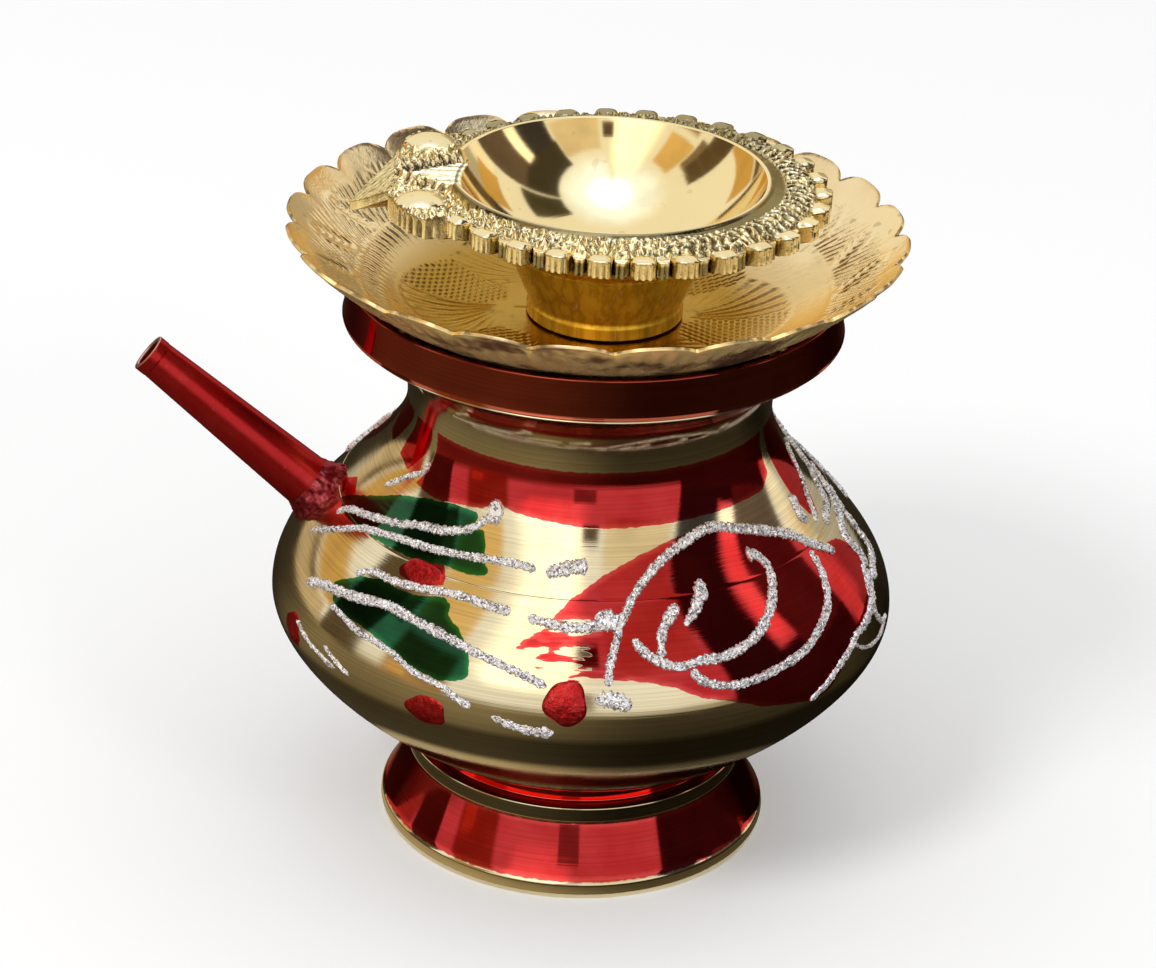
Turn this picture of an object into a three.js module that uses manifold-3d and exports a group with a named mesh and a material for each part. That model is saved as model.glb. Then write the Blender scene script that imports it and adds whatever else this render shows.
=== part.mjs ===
// Spouted brass lota with a scalloped cover plate and a footed oil lamp standing in it.
// Millimetres, +Z up. The pot stands on z = 0, and the origin is below the middle of the whole object.
import * as THREE from 'three';
import { mergeVertices } from 'three/addons/utils/BufferGeometryUtils.js';
import Module from 'manifold-3d';

const wasm = await Module();
wasm.setup();

const GAP = 0.3;
const ROUND_STEPS = 40;

// Foot: a flared ring of spun brass, with a rim band and a ledge below its waist
const footRadius = 33.0;
const footRimHeight = 2.7;
const footFlareRadius = 28.1;
const footFlarePull = 29.9;
const footLedgeBottom = 11.9;
const footLedgeRadius = 28.6;
const footLedgeHeight = 3.2;
const footWaistRadius = 26.5;
const footHeight = 17.6;
const footWall = 1.3;

// Pot: two spun shells that lap at the belly seam, then the mouth band on the neck flare
const potWall = 1.1;
const bellyBaseRadius = 27.4;
const bellyRadius = 52.1;
const bellyRise = 24.3;
const bellyLowerFullness = 8.0;
const bellyLowerSlope = 19;
const bellyUpperFullness = 13.5;
const seamShare = 0.505;
const seamLap = 2.6;
const neckRadius = 30.1;
const neckRise = 35.3;
const neckFullness = 11.9;
const flareRise = 13.4;
const flareRadius = 40.3;
const flareFullness = 4.6;
const flareInnerEnd = 0.9;
const mouthBandRadius = 40.9;
const mouthBandHeight = 7.0;
const mouthBandTaper = 0.5;
const mouthBeadHeight = 0.8;
const mouthBeadProud = 0.25;

// Spout: a tapered tube square to the belly, with a bead of solder round its root
const spoutRise = 40;
const spoutLength = 37.5;
const spoutRootRadius = 5.2;
const spoutTipRadius = 3.2;
const spoutWall = 0.8;
const spoutInside = 2.2;
const spoutTipBand = 1.9;
const spoutTipProud = 0.15;
const spoutRootShare = 0.4;
const collarWidth = 1.8;
const collarHeight = 3.2;

// Plate: a deep dish of thin embossed sheet with a scalloped rim
const plateRadius = 50.3;
const plateWall = 0.8;
const plateFloorRadius = 20;
const plateKneeRadius = 32.5;
const plateDepth = 15.6;
const scallops = 24;
const scallopTurn = 4;
const scallopInset = 1.9;
const scallopDip = 1.3;
const scallopBand = 0.82;
const stepsPerScallop = 4;
const plateRings = 7;

// Lamp: a turned bowl in a cast flange with teeth and a wick lip, brazed to a cup-shaped foot
const lampAside = 1.7;
const lampHeight = 23.9;
const bowlRadius = 25.2;
const bowlDepth = 15;
const bowlWall = 2.0;
const bowlRimWidth = 1.8;
const flangeRadius = 32.2;
const flangeAside = 2.2;
const flangeThickness = 2.6;
const flangeDrop = 1.6;
const toothCount = 30;
const toothWidth = 4.2;
const toothReach = 1.4;
const toothHeight = 2.8;
const smallToothWidth = 2.2;
const smallToothReach = 0.5;
const smallToothHeight = 2.0;
const lipToothFree = 37;
const lipStart = 20;
const lipLength = 34.5;
const lipHalfWidth = 13;
const lipThickness = 3.4;
const earLength = 9.5;
const earHalfWidth = 18.6;
const earHeight = 0.9;
const noseRoot = 2;
const noseLength = 9.5;
const noseHalfWidth = 8.8;
const noseThickness = 2.6;
const noseDroop = 30;
const channelHalfWidth = 7.3;
const channelTip = 35;
const channelDepth = 2.1;
const lampFootRadius = 12.8;
const lampFootBand = 2.4;
const lampStemRadius = 12.5;
const lampCupRadius = 16.2;
const lampFootWall = 1.6;

// Places worked out from the sizes above
const RAD = Math.PI / 180;
const bellyBottom = footHeight + GAP;
const bellyCentre = bellyBottom + bellyRise;
const neckCentre = bellyCentre + neckRise;
const flareTop = neckCentre + flareRise;
const mouthTop = flareTop + GAP + mouthBandHeight;

const up = (radius, height) => new THREE.Vector2(radius, height);

const lowerBelly = new THREE.CubicBezierCurve(
  up(bellyBaseRadius, bellyBottom),
  up(
    bellyBaseRadius + bellyLowerFullness * Math.cos(bellyLowerSlope * RAD),
    bellyBottom + bellyLowerFullness * Math.sin(bellyLowerSlope * RAD),
  ),
  up(bellyRadius, bellyCentre - bellyLowerFullness),
  up(bellyRadius, bellyCentre),
);
const upperBelly = new THREE.CubicBezierCurve(
  up(bellyRadius, bellyCentre),
  up(bellyRadius, bellyCentre + bellyUpperFullness),
  up(neckRadius, neckCentre - neckFullness),
  up(neckRadius, neckCentre),
);
const neckFlare = new THREE.CubicBezierCurve(
  up(neckRadius, neckCentre),
  up(neckRadius, neckCentre + flareFullness),
  up(flareRadius, flareTop - flareFullness / 2),
  up(flareRadius, flareTop),
);

// Points along part of a curve, moved square to it: inward where the offset is positive
function along(curve, from, to, steps, offset = 0) {
  const points = [];
  for (let i = 0; i <= steps; i += 1) {
    const share = from + ((to - from) * i) / steps;
    const direction = curve.getTangent(share);
    const point = curve.getPoint(share);
    points.push(up(point.x - direction.y * offset, point.y + direction.x * offset));
  }
  return points;
}

// A solid of revolution about Z, from an outline that goes up outside and down inside
function turned(outline, steps = ROUND_STEPS) {
  const onAxis = outline[0].x === 0;
  const points = onAxis ? outline : [...outline, outline[0]];
  return new THREE.LatheGeometry(points, steps).rotateX(Math.PI / 2);
}

function toSolid(geometry) {
  const plain = geometry.clone();
  plain.deleteAttribute('normal');
  plain.deleteAttribute('uv');
  const merged = mergeVertices(plain);
  return new wasm.Manifold(new wasm.Mesh({
    numProp: 3,
    vertProperties: merged.attributes.position.array,
    triVerts: new Uint32Array(merged.index.array),
  }));
}

function toGeometry(solid) {
  const mesh = solid.getMesh();
  const geometry = new THREE.BufferGeometry();
  geometry.setAttribute('position', new THREE.BufferAttribute(mesh.vertProperties, 3));
  geometry.setIndex(new THREE.BufferAttribute(mesh.triVerts, 1));
  geometry.computeVertexNormals();
  return geometry;
}

function piece(name, geometry, color, roughness) {
  const material = new THREE.MeshStandardMaterial({ color, roughness, metalness: 1 });
  const mesh = new THREE.Mesh(geometry, material);
  mesh.name = name;
  return mesh;
}

const POT_BRASS = '#cdbb85';
const PLATE_BRASS = '#d9b65c';
const LAMP_BRASS = '#d4a93f';
const RED_LACQUER = '#a01512';

// Foot

function footRing() {
  const flare = new THREE.QuadraticBezierCurve(
    up(footRadius - GAP, footRimHeight),
    up(footFlarePull, (footRimHeight + footLedgeBottom) / 2),
    up(footFlareRadius, footLedgeBottom),
  );
  const ledgeTop = footLedgeBottom + footLedgeHeight;
  return turned([
    up(footRadius, 0),
    up(footRadius, footRimHeight),
    ...along(flare, 0, 1, 5),
    up(footLedgeRadius, footLedgeBottom + GAP),
    up(footLedgeRadius, ledgeTop - GAP),
    up(footWaistRadius, ledgeTop),
    up(footWaistRadius, footHeight),
    up(footWaistRadius - footWall, footHeight),
    up(footWaistRadius - footWall, ledgeTop - footWall),
    ...along(flare, 1, 0, 5, footWall),
    up(footRadius - footWall, footRimHeight),
    up(footRadius - footWall, 0),
  ]);
}

// Pot shells

const spoutAngle = Math.PI / 2 - spoutRise * RAD;
const spoutSeat = upperBelly.getPoint(spoutRootShare);

// Turns and moves a solid made along +Z from 0 to the spout's line, from the belly's face outwards
function onSpout(geometry) {
  return geometry.rotateY(-spoutAngle).translate(-spoutSeat.x, 0, spoutSeat.y);
}

function rod(radius, from, to, steps = 24) {
  const geometry = new THREE.CylinderGeometry(radius, radius, to - from, steps);
  return geometry.rotateX(Math.PI / 2).translate(0, 0, (from + to) / 2);
}

function withSpoutHole(geometry) {
  const hole = onSpout(rod(spoutRootRadius + GAP, -spoutLength / 2, spoutLength / 2));
  return toGeometry(toSolid(geometry).subtract(toSolid(hole)));
}

function bellyBowl() {
  const outline = [
    up(0, bellyBottom),
    ...along(lowerBelly, 0, 1, 10),
    ...along(upperBelly, 0, seamShare, 6).slice(1),
    ...along(upperBelly, seamShare, 0, 6, potWall),
    ...along(lowerBelly, 1, 0, 8, potWall).slice(1),
    up(0, bellyBottom + potWall),
  ];
  return withSpoutHole(turned(outline));
}

function shoulderNeck() {
  const seamWidth = upperBelly.getLength();
  const lapShare = seamShare - seamLap / seamWidth;
  const seamGapShare = seamShare + GAP / seamWidth;
  const clearOfShelf = seamShare + (2 * potWall) / seamWidth;
  const outline = [
    ...along(upperBelly, lapShare, seamShare, 1, potWall + GAP),
    ...along(upperBelly, seamGapShare, 1, 9),
    ...along(neckFlare, 0, 1, 7).slice(1),
    up(flareRadius - potWall, flareTop),
    ...along(neckFlare, flareInnerEnd, 0, 6, potWall),
    ...along(upperBelly, 1, clearOfShelf, 7, potWall).slice(1),
    ...along(upperBelly, seamShare, lapShare, 1, 2 * potWall + GAP),
  ];
  return withSpoutHole(turned(outline));
}

function mouthBand() {
  const bottom = flareTop + GAP;
  return turned([
    up(flareRadius, bottom),
    up(mouthBandRadius + mouthBeadProud, bottom + mouthBeadHeight / 2),
    up(mouthBandRadius, bottom + mouthBeadHeight),
    up(mouthBandRadius - mouthBandTaper, mouthTop),
    up(mouthBandRadius - mouthBandTaper - potWall, mouthTop),
    up(mouthBandRadius - potWall, bottom + mouthBeadHeight),
    up(flareRadius - potWall, bottom),
  ]);
}

// Spout

function spoutRadiusAt(distance) {
  return spoutRootRadius + (spoutTipRadius - spoutRootRadius) * (distance / spoutLength);
}

function spout() {
  const bandStart = spoutLength - spoutTipBand;
  const tube = turned([
    up(spoutRootRadius, -spoutInside),
    up(spoutRootRadius, 0),
    up(spoutRadiusAt(bandStart), bandStart),
    up(spoutTipRadius + spoutTipProud, bandStart + spoutTipProud),
    up(spoutTipRadius + spoutTipProud, spoutLength),
    up(spoutTipRadius - spoutWall, spoutLength),
    up(spoutRootRadius - spoutWall, 0),
    up(spoutRootRadius - spoutWall, -spoutInside),
  ], 24);
  return onSpout(tube);
}

function spoutCollar() {
  const bead = new THREE.QuadraticBezierCurve(
    up(spoutRootRadius + collarWidth, 0),
    up(spoutRootRadius + collarWidth / 3, collarHeight / 3),
    up(spoutRadiusAt(collarHeight) + 2 * GAP, collarHeight),
  );
  const ring = onSpout(turned([
    up(spoutRootRadius + collarWidth, -spoutRootRadius / 2),
    ...along(bead, 0, 1, 4),
    up(spoutRadiusAt(collarHeight) + GAP, collarHeight),
    up(spoutRootRadius + GAP, 0),
    up(spoutRootRadius + GAP, -spoutRootRadius / 2),
  ], 24));
  const potFace = turned([
    up(0, bellyCentre),
    ...along(upperBelly, 0, 1, 16, -GAP),
    up(0, neckCentre),
  ]);
  return toGeometry(toSolid(ring).subtract(toSolid(potFace)));
}

// Plate

// The dish's wall, from a flat floor at height 0 up to the rim
const plateSweep = new THREE.QuadraticBezierCurve(
  up(plateFloorRadius, 0),
  up(plateKneeRadius, 0),
  up(plateRadius, plateDepth),
);
const plateFace = [up(0, 0), ...along(plateSweep, 0, 1, plateRings)];
const plateUnderside = [up(0, -plateWall), ...along(plateSweep, 0, 1, plateRings, -plateWall)];

function heightAt(outline, radius) {
  const next = outline.findIndex((point) => point.x >= radius);
  const [low, high] = [outline[next - 1], outline[next]];
  return low.y + ((high.y - low.y) * (radius - low.x)) / (high.x - low.x);
}

// The underside rests on the inner edge of the mouth band
const seatRadius = mouthBandRadius - mouthBandTaper - potWall;
const plateFloor = mouthTop + GAP - heightAt(plateUnderside, seatRadius);

function plate() {
  const profile = [...plateUnderside, ...[...plateFace].reverse()];
  const dish = turned(profile, scallops * stepsPerScallop).translate(0, 0, plateFloor);
  const place = dish.attributes.position;
  const spot = new THREE.Vector3();
  for (let i = 0; i < place.count; i += 1) {
    spot.fromBufferAttribute(place, i);
    const radius = Math.hypot(spot.x, spot.y);
    const rimShare = Math.max(0, radius / plateRadius - scallopBand) / (1 - scallopBand);
    const angle = Math.atan2(spot.y, spot.x) - scallopTurn * RAD;
    const notch = (1 - Math.abs(Math.sin((angle * scallops) / 2))) ** 2 * Math.min(1, rimShare);
    const inward = 1 - (scallopInset * notch) / Math.max(radius, 1);
    place.setXYZ(i, spot.x * inward, spot.y * inward, spot.z - scallopDip * notch);
  }
  return dish;
}

// Lamp

const lampFloor = plateFloor + GAP;
const lampTop = lampFloor + lampHeight;
const bowlBallRadius = (bowlRadius ** 2 + bowlDepth ** 2) / (2 * bowlDepth);
const bowlBallCentre = lampTop - bowlDepth + bowlBallRadius;
const bowlUnderside = (radius) => bowlBallCentre - Math.sqrt((bowlBallRadius + bowlWall) ** 2 - radius ** 2);

function bowlArc(radius, outTo, steps) {
  const points = [];
  for (let i = 0; i <= steps; i += 1) {
    const slant = (Math.asin(outTo / radius) * i) / steps;
    points.push(up(radius * Math.sin(slant), bowlBallCentre - radius * Math.cos(slant)));
  }
  return points;
}

// A flat shape drawn in plan, given a thickness down from a height
function slab(outline, top, thickness) {
  const shape = new THREE.Shape(outline.map(([x, y]) => up(x, y)));
  const geometry = new THREE.ExtrudeGeometry(shape, { depth: thickness, bevelEnabled: false, steps: 1 });
  return geometry.translate(0, 0, top - thickness);
}

function tooth(angle, width, reach, height, top) {
  const root = flangeRadius - reach;
  const end = flangeRadius + reach;
  const half = width / 2;
  const corner = Math.min(half, reach) / 2;
  const outline = [
    [root, -half], [end - corner, -half], [end, corner - half],
    [end, half - corner], [end - corner, half], [root, half],
  ];
  return slab(outline, top, height).rotateZ(angle).translate(flangeAside, 0, 0);
}

function lampBowl() {
  const rimOuter = bowlRadius + bowlRimWidth;
  const edgeTop = lampTop - flangeDrop;
  const bowl = turned([
    ...bowlArc(bowlBallRadius + bowlWall, rimOuter - bowlWall, 7),
    up(rimOuter, lampTop - flangeThickness - GAP),
    up(rimOuter, lampTop - GAP),
    up(bowlRadius + bowlRimWidth / 2, lampTop),
    ...bowlArc(bowlBallRadius, bowlRadius, 8).reverse(),
  ]);
  const flangeRoot = bowlRadius + bowlWall / 2 - flangeAside;
  const flange = turned([
    up(flangeRoot, edgeTop - flangeThickness),
    up(flangeRadius, edgeTop - flangeThickness),
    up(flangeRadius, edgeTop),
    up(rimOuter, lampTop - 2 * GAP),
    up(flangeRoot, lampTop - 2 * GAP),
  ]).translate(flangeAside, 0, 0);
  let solid = toSolid(bowl).add(toSolid(flange));
  for (let i = 0; i < toothCount; i += 1) {
    const angle = Math.PI + (i * 2 * Math.PI) / toothCount;
    const between = angle + Math.PI / toothCount;
    const overLip = (turn) => Math.cos(turn) < -Math.cos(lipToothFree * RAD);
    if (!overLip(angle)) {
      solid = solid.add(toSolid(tooth(angle, toothWidth, toothReach, toothHeight, edgeTop)));
    }
    if (!overLip(between)) {
      const top = edgeTop - GAP;
      solid = solid.add(toSolid(tooth(between, smallToothWidth, smallToothReach, smallToothHeight, top)));
    }
  }
  solid = solid.add(toSolid(wickLip())).add(toSolid(wickNose()));
  solid = solid.add(toSolid(ear(1))).add(toSolid(ear(-1)));
  const hollow = turned([...bowlArc(bowlBallRadius, bowlRadius, 8), up(0, lampTop)]);
  const channel = slab([
    [-bowlRadius / 2, -channelHalfWidth], [-bowlRadius / 2, channelHalfWidth],
    [-bowlRadius, channelHalfWidth], [-channelTip, 0], [-bowlRadius, -channelHalfWidth],
  ], lampTop + channelDepth, 2 * channelDepth);
  return toGeometry(solid.subtract(toSolid(hollow)).subtract(toSolid(channel)));
}

function wickLip() {
  return slab([
    [-lipStart, lipHalfWidth], [-lipLength, lipHalfWidth / 2 + GAP], [-lipLength, -lipHalfWidth / 2 - GAP],
    [-lipStart, -lipHalfWidth],
  ], lampTop - 2 * GAP, lipThickness);
}

function ear(side) {
  const inner = lipHalfWidth / 2;
  const outer = earHalfWidth;
  const start = lipLength - earLength;
  const corner = earLength / 3;
  const outline = [
    [-start, side * inner], [-start, side * outer], [corner - lipLength, side * outer],
    [-lipLength, side * (outer - corner)], [-lipLength, side * inner],
  ];
  return slab(side > 0 ? outline : outline.reverse(), lampTop - 2 * GAP + earHeight, lipThickness + earHeight);
}

function wickNose() {
  const nose = slab([
    [noseRoot, noseHalfWidth / 2], [0, noseHalfWidth], [-noseLength, 0], [0, -noseHalfWidth],
    [noseRoot, -noseHalfWidth / 2],
  ], 0, noseThickness);
  return nose.rotateY(-noseDroop * RAD).translate(-lipLength, 0, lampTop - 3 * GAP);
}

function lampPedestal() {
  const bandTop = lampFloor + lampFootBand;
  const innerCup = lampCupRadius - lampFootWall;
  return turned([
    up(lampFootRadius, lampFloor),
    up(lampFootRadius, bandTop),
    up(lampStemRadius, bandTop + GAP),
    up(lampCupRadius, bowlUnderside(lampCupRadius) - GAP),
    up(innerCup, bowlUnderside(innerCup) - GAP),
    up(lampStemRadius - lampFootWall, bandTop),
    up(lampFootRadius - lampFootWall, lampFloor),
  ], 36);
}

// Assembly: the pot's axis stands off the origin, so that the origin is below the middle of it all

const spoutTipX = spoutSeat.x + spoutLength * Math.cos(spoutRise * RAD)
  + (spoutTipRadius + spoutTipProud) * Math.sin(spoutRise * RAD);

const pot = new THREE.Group();
pot.position.x = (spoutTipX - bellyRadius) / 2;
pot.add(
  piece('foot_ring', footRing(), RED_LACQUER, 0.25),
  piece('belly_bowl', bellyBowl(), POT_BRASS, 0.28),
  piece('shoulder_neck', shoulderNeck(), POT_BRASS, 0.28),
  piece('mouth_band', mouthBand(), RED_LACQUER, 0.22),
  piece('spout', spout(), RED_LACQUER, 0.22),
  piece('spout_collar', spoutCollar(), RED_LACQUER, 0.25),
  piece('cover_plate', plate(), PLATE_BRASS, 0.22),
);

const lamp = new THREE.Group();
lamp.position.x = lampAside;
lamp.add(
  piece('lamp_bowl', lampBowl(), LAMP_BRASS, 0.18),
  piece('lamp_pedestal', lampPedestal(), LAMP_BRASS, 0.2),
);
pot.add(lamp);

const lota = new THREE.Group();
lota.add(pot);

export default lota;
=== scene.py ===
# Spouted brass lota with painted shells, a scalloped cover plate and an oil lamp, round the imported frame.
# Shapes are worked out in millimetres, with +Z up and the pot on z = 0, and each mesh is made in metres.
from math import cos, pi, radians, sin, sqrt

import bmesh
import bpy
import numpy as np
from mathutils import Euler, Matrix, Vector, noise


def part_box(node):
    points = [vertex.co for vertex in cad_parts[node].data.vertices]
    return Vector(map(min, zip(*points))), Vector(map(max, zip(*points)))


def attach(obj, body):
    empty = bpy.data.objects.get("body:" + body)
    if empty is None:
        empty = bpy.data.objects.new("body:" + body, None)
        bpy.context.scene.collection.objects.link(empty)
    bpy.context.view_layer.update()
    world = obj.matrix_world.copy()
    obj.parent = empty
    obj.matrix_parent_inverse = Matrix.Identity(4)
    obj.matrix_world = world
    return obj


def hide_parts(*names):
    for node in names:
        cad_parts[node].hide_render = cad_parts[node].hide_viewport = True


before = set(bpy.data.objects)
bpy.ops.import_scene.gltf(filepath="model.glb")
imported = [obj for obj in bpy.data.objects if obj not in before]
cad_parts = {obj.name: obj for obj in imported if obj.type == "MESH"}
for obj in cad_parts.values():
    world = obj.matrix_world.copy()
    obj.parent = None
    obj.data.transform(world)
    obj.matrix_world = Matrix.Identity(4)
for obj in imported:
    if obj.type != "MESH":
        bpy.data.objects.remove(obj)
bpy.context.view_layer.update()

MM = 0.001

# Camera: a long lens, a little above the lota and in front of it

camera_place = Vector((0.01157, -0.57557, 0.34293))
camera_turn = (63.854, -2.3835, 1.299)
camera_lens = 119.54
camera_sensor = 36.0

camera_data = bpy.data.cameras.new("camera")
camera_data.lens = camera_lens
camera_data.sensor_width = camera_sensor
camera_data.sensor_fit = "HORIZONTAL"
camera_data.clip_start = 0.01
camera = bpy.data.objects.new("camera", camera_data)
camera.location = camera_place
camera.rotation_euler = Euler([radians(turn) for turn in camera_turn])
bpy.context.scene.collection.objects.link(camera)
bpy.context.scene.camera = camera
bpy.context.scene.view_settings.view_transform = "Standard"

# Sizes read from the frame


def node_box(node):
    low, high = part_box(node)
    return np.array(low) / MM, np.array(high) / MM


def half_depth(node):
    low, high = node_box(node)
    return (high[1] - low[1]) / 2


foot_low, foot_high = node_box("foot_ring")
pedestal_low, pedestal_high = node_box("lamp_pedestal")

gap = 0.3
pot_x = (foot_low[0] + foot_high[0]) / 2
foot_radius = half_depth("foot_ring")
foot_height = foot_high[2]
belly_bottom = node_box("belly_bowl")[0][2]
belly_radius = half_depth("belly_bowl")
flare_top = node_box("shoulder_neck")[1][2]
mouth_top = node_box("mouth_band")[1][2]
mouth_proud = 0.25
mouth_radius = half_depth("mouth_band") - mouth_proud
plate_wall = 0.8
plate_floor = node_box("cover_plate")[0][2] + plate_wall
lamp_x = (pedestal_low[0] + pedestal_high[0]) / 2
lamp_floor = pedestal_low[2]
ear_proud = 0.3
lamp_top = node_box("lamp_bowl")[1][2] - ear_proud

# Shape tools


def add_values(mesh, name, values):
    """Stores a number for each point of a mesh."""
    layer = mesh.attributes.new(name, "FLOAT", "POINT")
    layer.data.foreach_set("value", np.asarray(values, np.float32).ravel())


def bezier(points, steps):
    """Rows of (radius, height) along a Bezier curve that is drawn by its end and pull points."""
    share = np.linspace(0, 1, steps + 1)[:, None]
    rows = [np.array(point, float)[None, :] for point in points]
    while len(rows) > 1:
        rows = [start + (end - start) * share for start, end in zip(rows, rows[1:])]
    return rows[0]


def moved_in(path, distance):
    """The path moved square to itself, inward where the distance is positive."""
    step = np.gradient(path, axis=0)
    step /= np.linalg.norm(step, axis=1)[:, None]
    return path + distance * np.stack((-step[:, 1], step[:, 0]), axis=1)


def eased(outline, cut):
    """A closed outline with its sharp corners rounded over a short cut."""
    points = [np.array(point, float) for point in outline]
    result = []
    for i, point in enumerate(points):
        before, after = points[i - 1], points[(i + 1) % len(points)]
        back, ahead = before - point, after - point
        back_length, ahead_length = np.linalg.norm(back), np.linalg.norm(ahead)
        bend = np.dot(back, ahead) / (back_length * ahead_length)
        if bend < -0.94 or point[0] < cut:
            result.append(point)
            continue
        start = point + back / back_length * min(cut, back_length * 0.45)
        end = point + ahead / ahead_length * min(cut, ahead_length * 0.45)
        result.extend(bezier([start, point, end], 3))
    return np.array(result)


def braced(outline, margin=0.2):
    """A closed outline with a point near each end of its long sides, which keeps their shading flat."""
    result = []
    for start, end in zip(outline, np.roll(outline, -1, axis=0)):
        length = np.linalg.norm(end - start)
        result.append(start)
        if length > 3 * margin:
            step = (end - start) / length * margin
            result += [start + step, end - step]
    return np.array(result)


def mesh_piece(name, points, faces, material, body, slot, *nodes, crease=35, values=()):
    """A named object from points in millimetres, shaded smooth between its creases, set on its body."""
    mesh = bpy.data.meshes.new(name)
    mesh.from_pydata((np.asarray(points) * MM).tolist(), [], [tuple(face) for face in faces])
    for label, numbers in values:
        add_values(mesh, label, numbers)
    shell = bmesh.new()
    shell.from_mesh(mesh)
    bmesh.ops.remove_doubles(shell, verts=shell.verts, dist=1e-6)
    bmesh.ops.recalc_face_normals(shell, faces=shell.faces)
    shell.to_mesh(mesh)
    shell.free()
    mesh.materials.append(material)
    if crease is not None:
        mesh.shade_smooth()
        mesh.set_sharp_from_angle(angle=radians(crease))
    piece = bpy.data.objects.new(name, mesh)
    bpy.context.scene.collection.objects.link(piece)
    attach(piece, body)
    if nodes:
        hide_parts(*nodes)
    return piece


def ring_faces(rings, steps, closed=True):
    """Quads between rings of points; a closed set joins its last ring to its first."""
    ring = np.arange(rings if closed else rings - 1)[:, None]
    step = np.arange(steps)[None, :]
    following = (ring + 1) % rings
    beside = (step + 1) % steps
    near = ring * steps
    far = following * steps
    corners = (near + step, near + beside, far + beside, far + step)
    return np.stack(corners, axis=-1).reshape(-1, 4).tolist()


def turned(outline, steps):
    """Points and faces of an outline turned about the standing axis at x = 0."""
    outline = braced(np.asarray(outline, float))
    angle = np.arange(steps) * 2 * pi / steps
    radius = outline[:, 0][:, None]
    height = np.repeat(outline[:, 1][:, None], steps, axis=1)
    points = np.stack((radius * np.cos(angle), radius * np.sin(angle), height), axis=-1)
    return points.reshape(-1, 3), ring_faces(len(outline), steps)


def stood_at(points, x):
    return np.asarray(points) + np.array([x, 0, 0])


def smoothed(value, low, high):
    """0 below the low edge, 1 above the high edge, and a soft step between."""
    share = np.clip((value - low) / (high - low), 0, 1)
    return share * share * (3 - 2 * share)


def pebbles(points, size, seed=0.0):
    """Noise from -1 to 1 at each point, with lumps of about the given size."""
    return np.array([noise.noise(Vector((x / size + seed, y / size, z / size))) for x, y, z in points])


# Node tools

lacquer_edge = (-0.08, 0.1)


def new_group(name, inputs, outputs):
    """A shader group with float, colour or vector sockets, and its tree."""
    group = bpy.data.node_groups.new(name, "ShaderNodeTree")
    kinds = {"value": "NodeSocketFloat", "colour": "NodeSocketColor", "place": "NodeSocketVector"}
    for label, kind in inputs:
        group.interface.new_socket(name=label, in_out="INPUT", socket_type=kinds[kind])
    for label, kind in outputs:
        group.interface.new_socket(name=label, in_out="OUTPUT", socket_type=kinds[kind])
    start = group.nodes.new("NodeGroupInput")
    end = group.nodes.new("NodeGroupOutput")
    return group, start, end


class Bench:
    """Adds nodes to one tree and wires them by name."""

    def __init__(self, tree):
        self.tree = tree

    def node(self, kind, **settings):
        made = self.tree.nodes.new(kind)
        for label, value in settings.items():
            setattr(made, label, value)
        return made

    def feed(self, socket, value):
        if isinstance(value, bpy.types.NodeSocket):
            self.tree.links.new(value, socket)
        else:
            socket.default_value = value

    def maths(self, operation, first, second=0.0, third=0.0):
        made = self.node("ShaderNodeMath", operation=operation)
        for socket, value in zip(made.inputs, (first, second, third)):
            self.feed(socket, value)
        return made.outputs[0]

    def mix(self, share, first, second, blend="MIX"):
        made = self.node("ShaderNodeMix", data_type="RGBA", blend_type=blend)
        self.feed(made.inputs[0], share)
        self.feed(made.inputs[6], first)
        self.feed(made.inputs[7], second)
        return made.outputs[2]

    def spread(self, value, low, high, to_low=0.0, to_high=1.0):
        made = self.node("ShaderNodeMapRange", interpolation_type="SMOOTHSTEP")
        for socket, given in zip(made.inputs, (value, low, high, to_low, to_high)):
            self.feed(socket, given)
        return made.outputs[0]

    def grain(self, place, scale, detail=2.0, roughness=0.5):
        made = self.node("ShaderNodeTexNoise")
        self.feed(made.inputs["Vector"], place)
        made.inputs["Scale"].default_value = scale
        made.inputs["Detail"].default_value = detail
        made.inputs["Roughness"].default_value = roughness
        return made.outputs["Fac"]

    def group(self, group, **inputs):
        made = self.node("ShaderNodeGroup", node_tree=group)
        for label, value in inputs.items():
            self.feed(made.inputs[label.replace("_", " ")], value)
        return made


def turning_marks_group():
    """Fine rings that a turning tool leaves, round an axis that stands at a given x."""
    group, start, end = new_group(
        "turning marks",
        [("Place", "place"), ("Axis", "value"), ("Fineness", "value")],
        [("Marks", "value"), ("Bands", "value")],
    )
    bench = Bench(group)
    parts = bench.node("ShaderNodeSeparateXYZ")
    bench.feed(parts.inputs[0], start.outputs["Place"])
    across = bench.maths("SUBTRACT", parts.outputs[0], start.outputs["Axis"])
    angle = bench.maths("ARCTAN2", parts.outputs[1], across)
    radius = bench.maths("SQRT", bench.maths("ADD", bench.maths("MULTIPLY", across, across),
                                             bench.maths("MULTIPLY", parts.outputs[1], parts.outputs[1])))
    along = bench.node("ShaderNodeCombineXYZ")
    bench.feed(along.inputs[0], bench.maths("MULTIPLY", radius, start.outputs["Fineness"]))
    bench.feed(along.inputs[1], bench.maths("MULTIPLY", bench.maths("COSINE", angle), 0.35))
    bench.feed(along.inputs[2], bench.maths("MULTIPLY", parts.outputs[2], start.outputs["Fineness"]))
    bench.feed(end.inputs["Marks"], bench.grain(along.outputs[0], 1.0, 3.0, 0.7))
    bench.feed(end.inputs["Bands"], bench.grain(along.outputs[0], 0.12, 2.0, 0.5))
    return group


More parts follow.
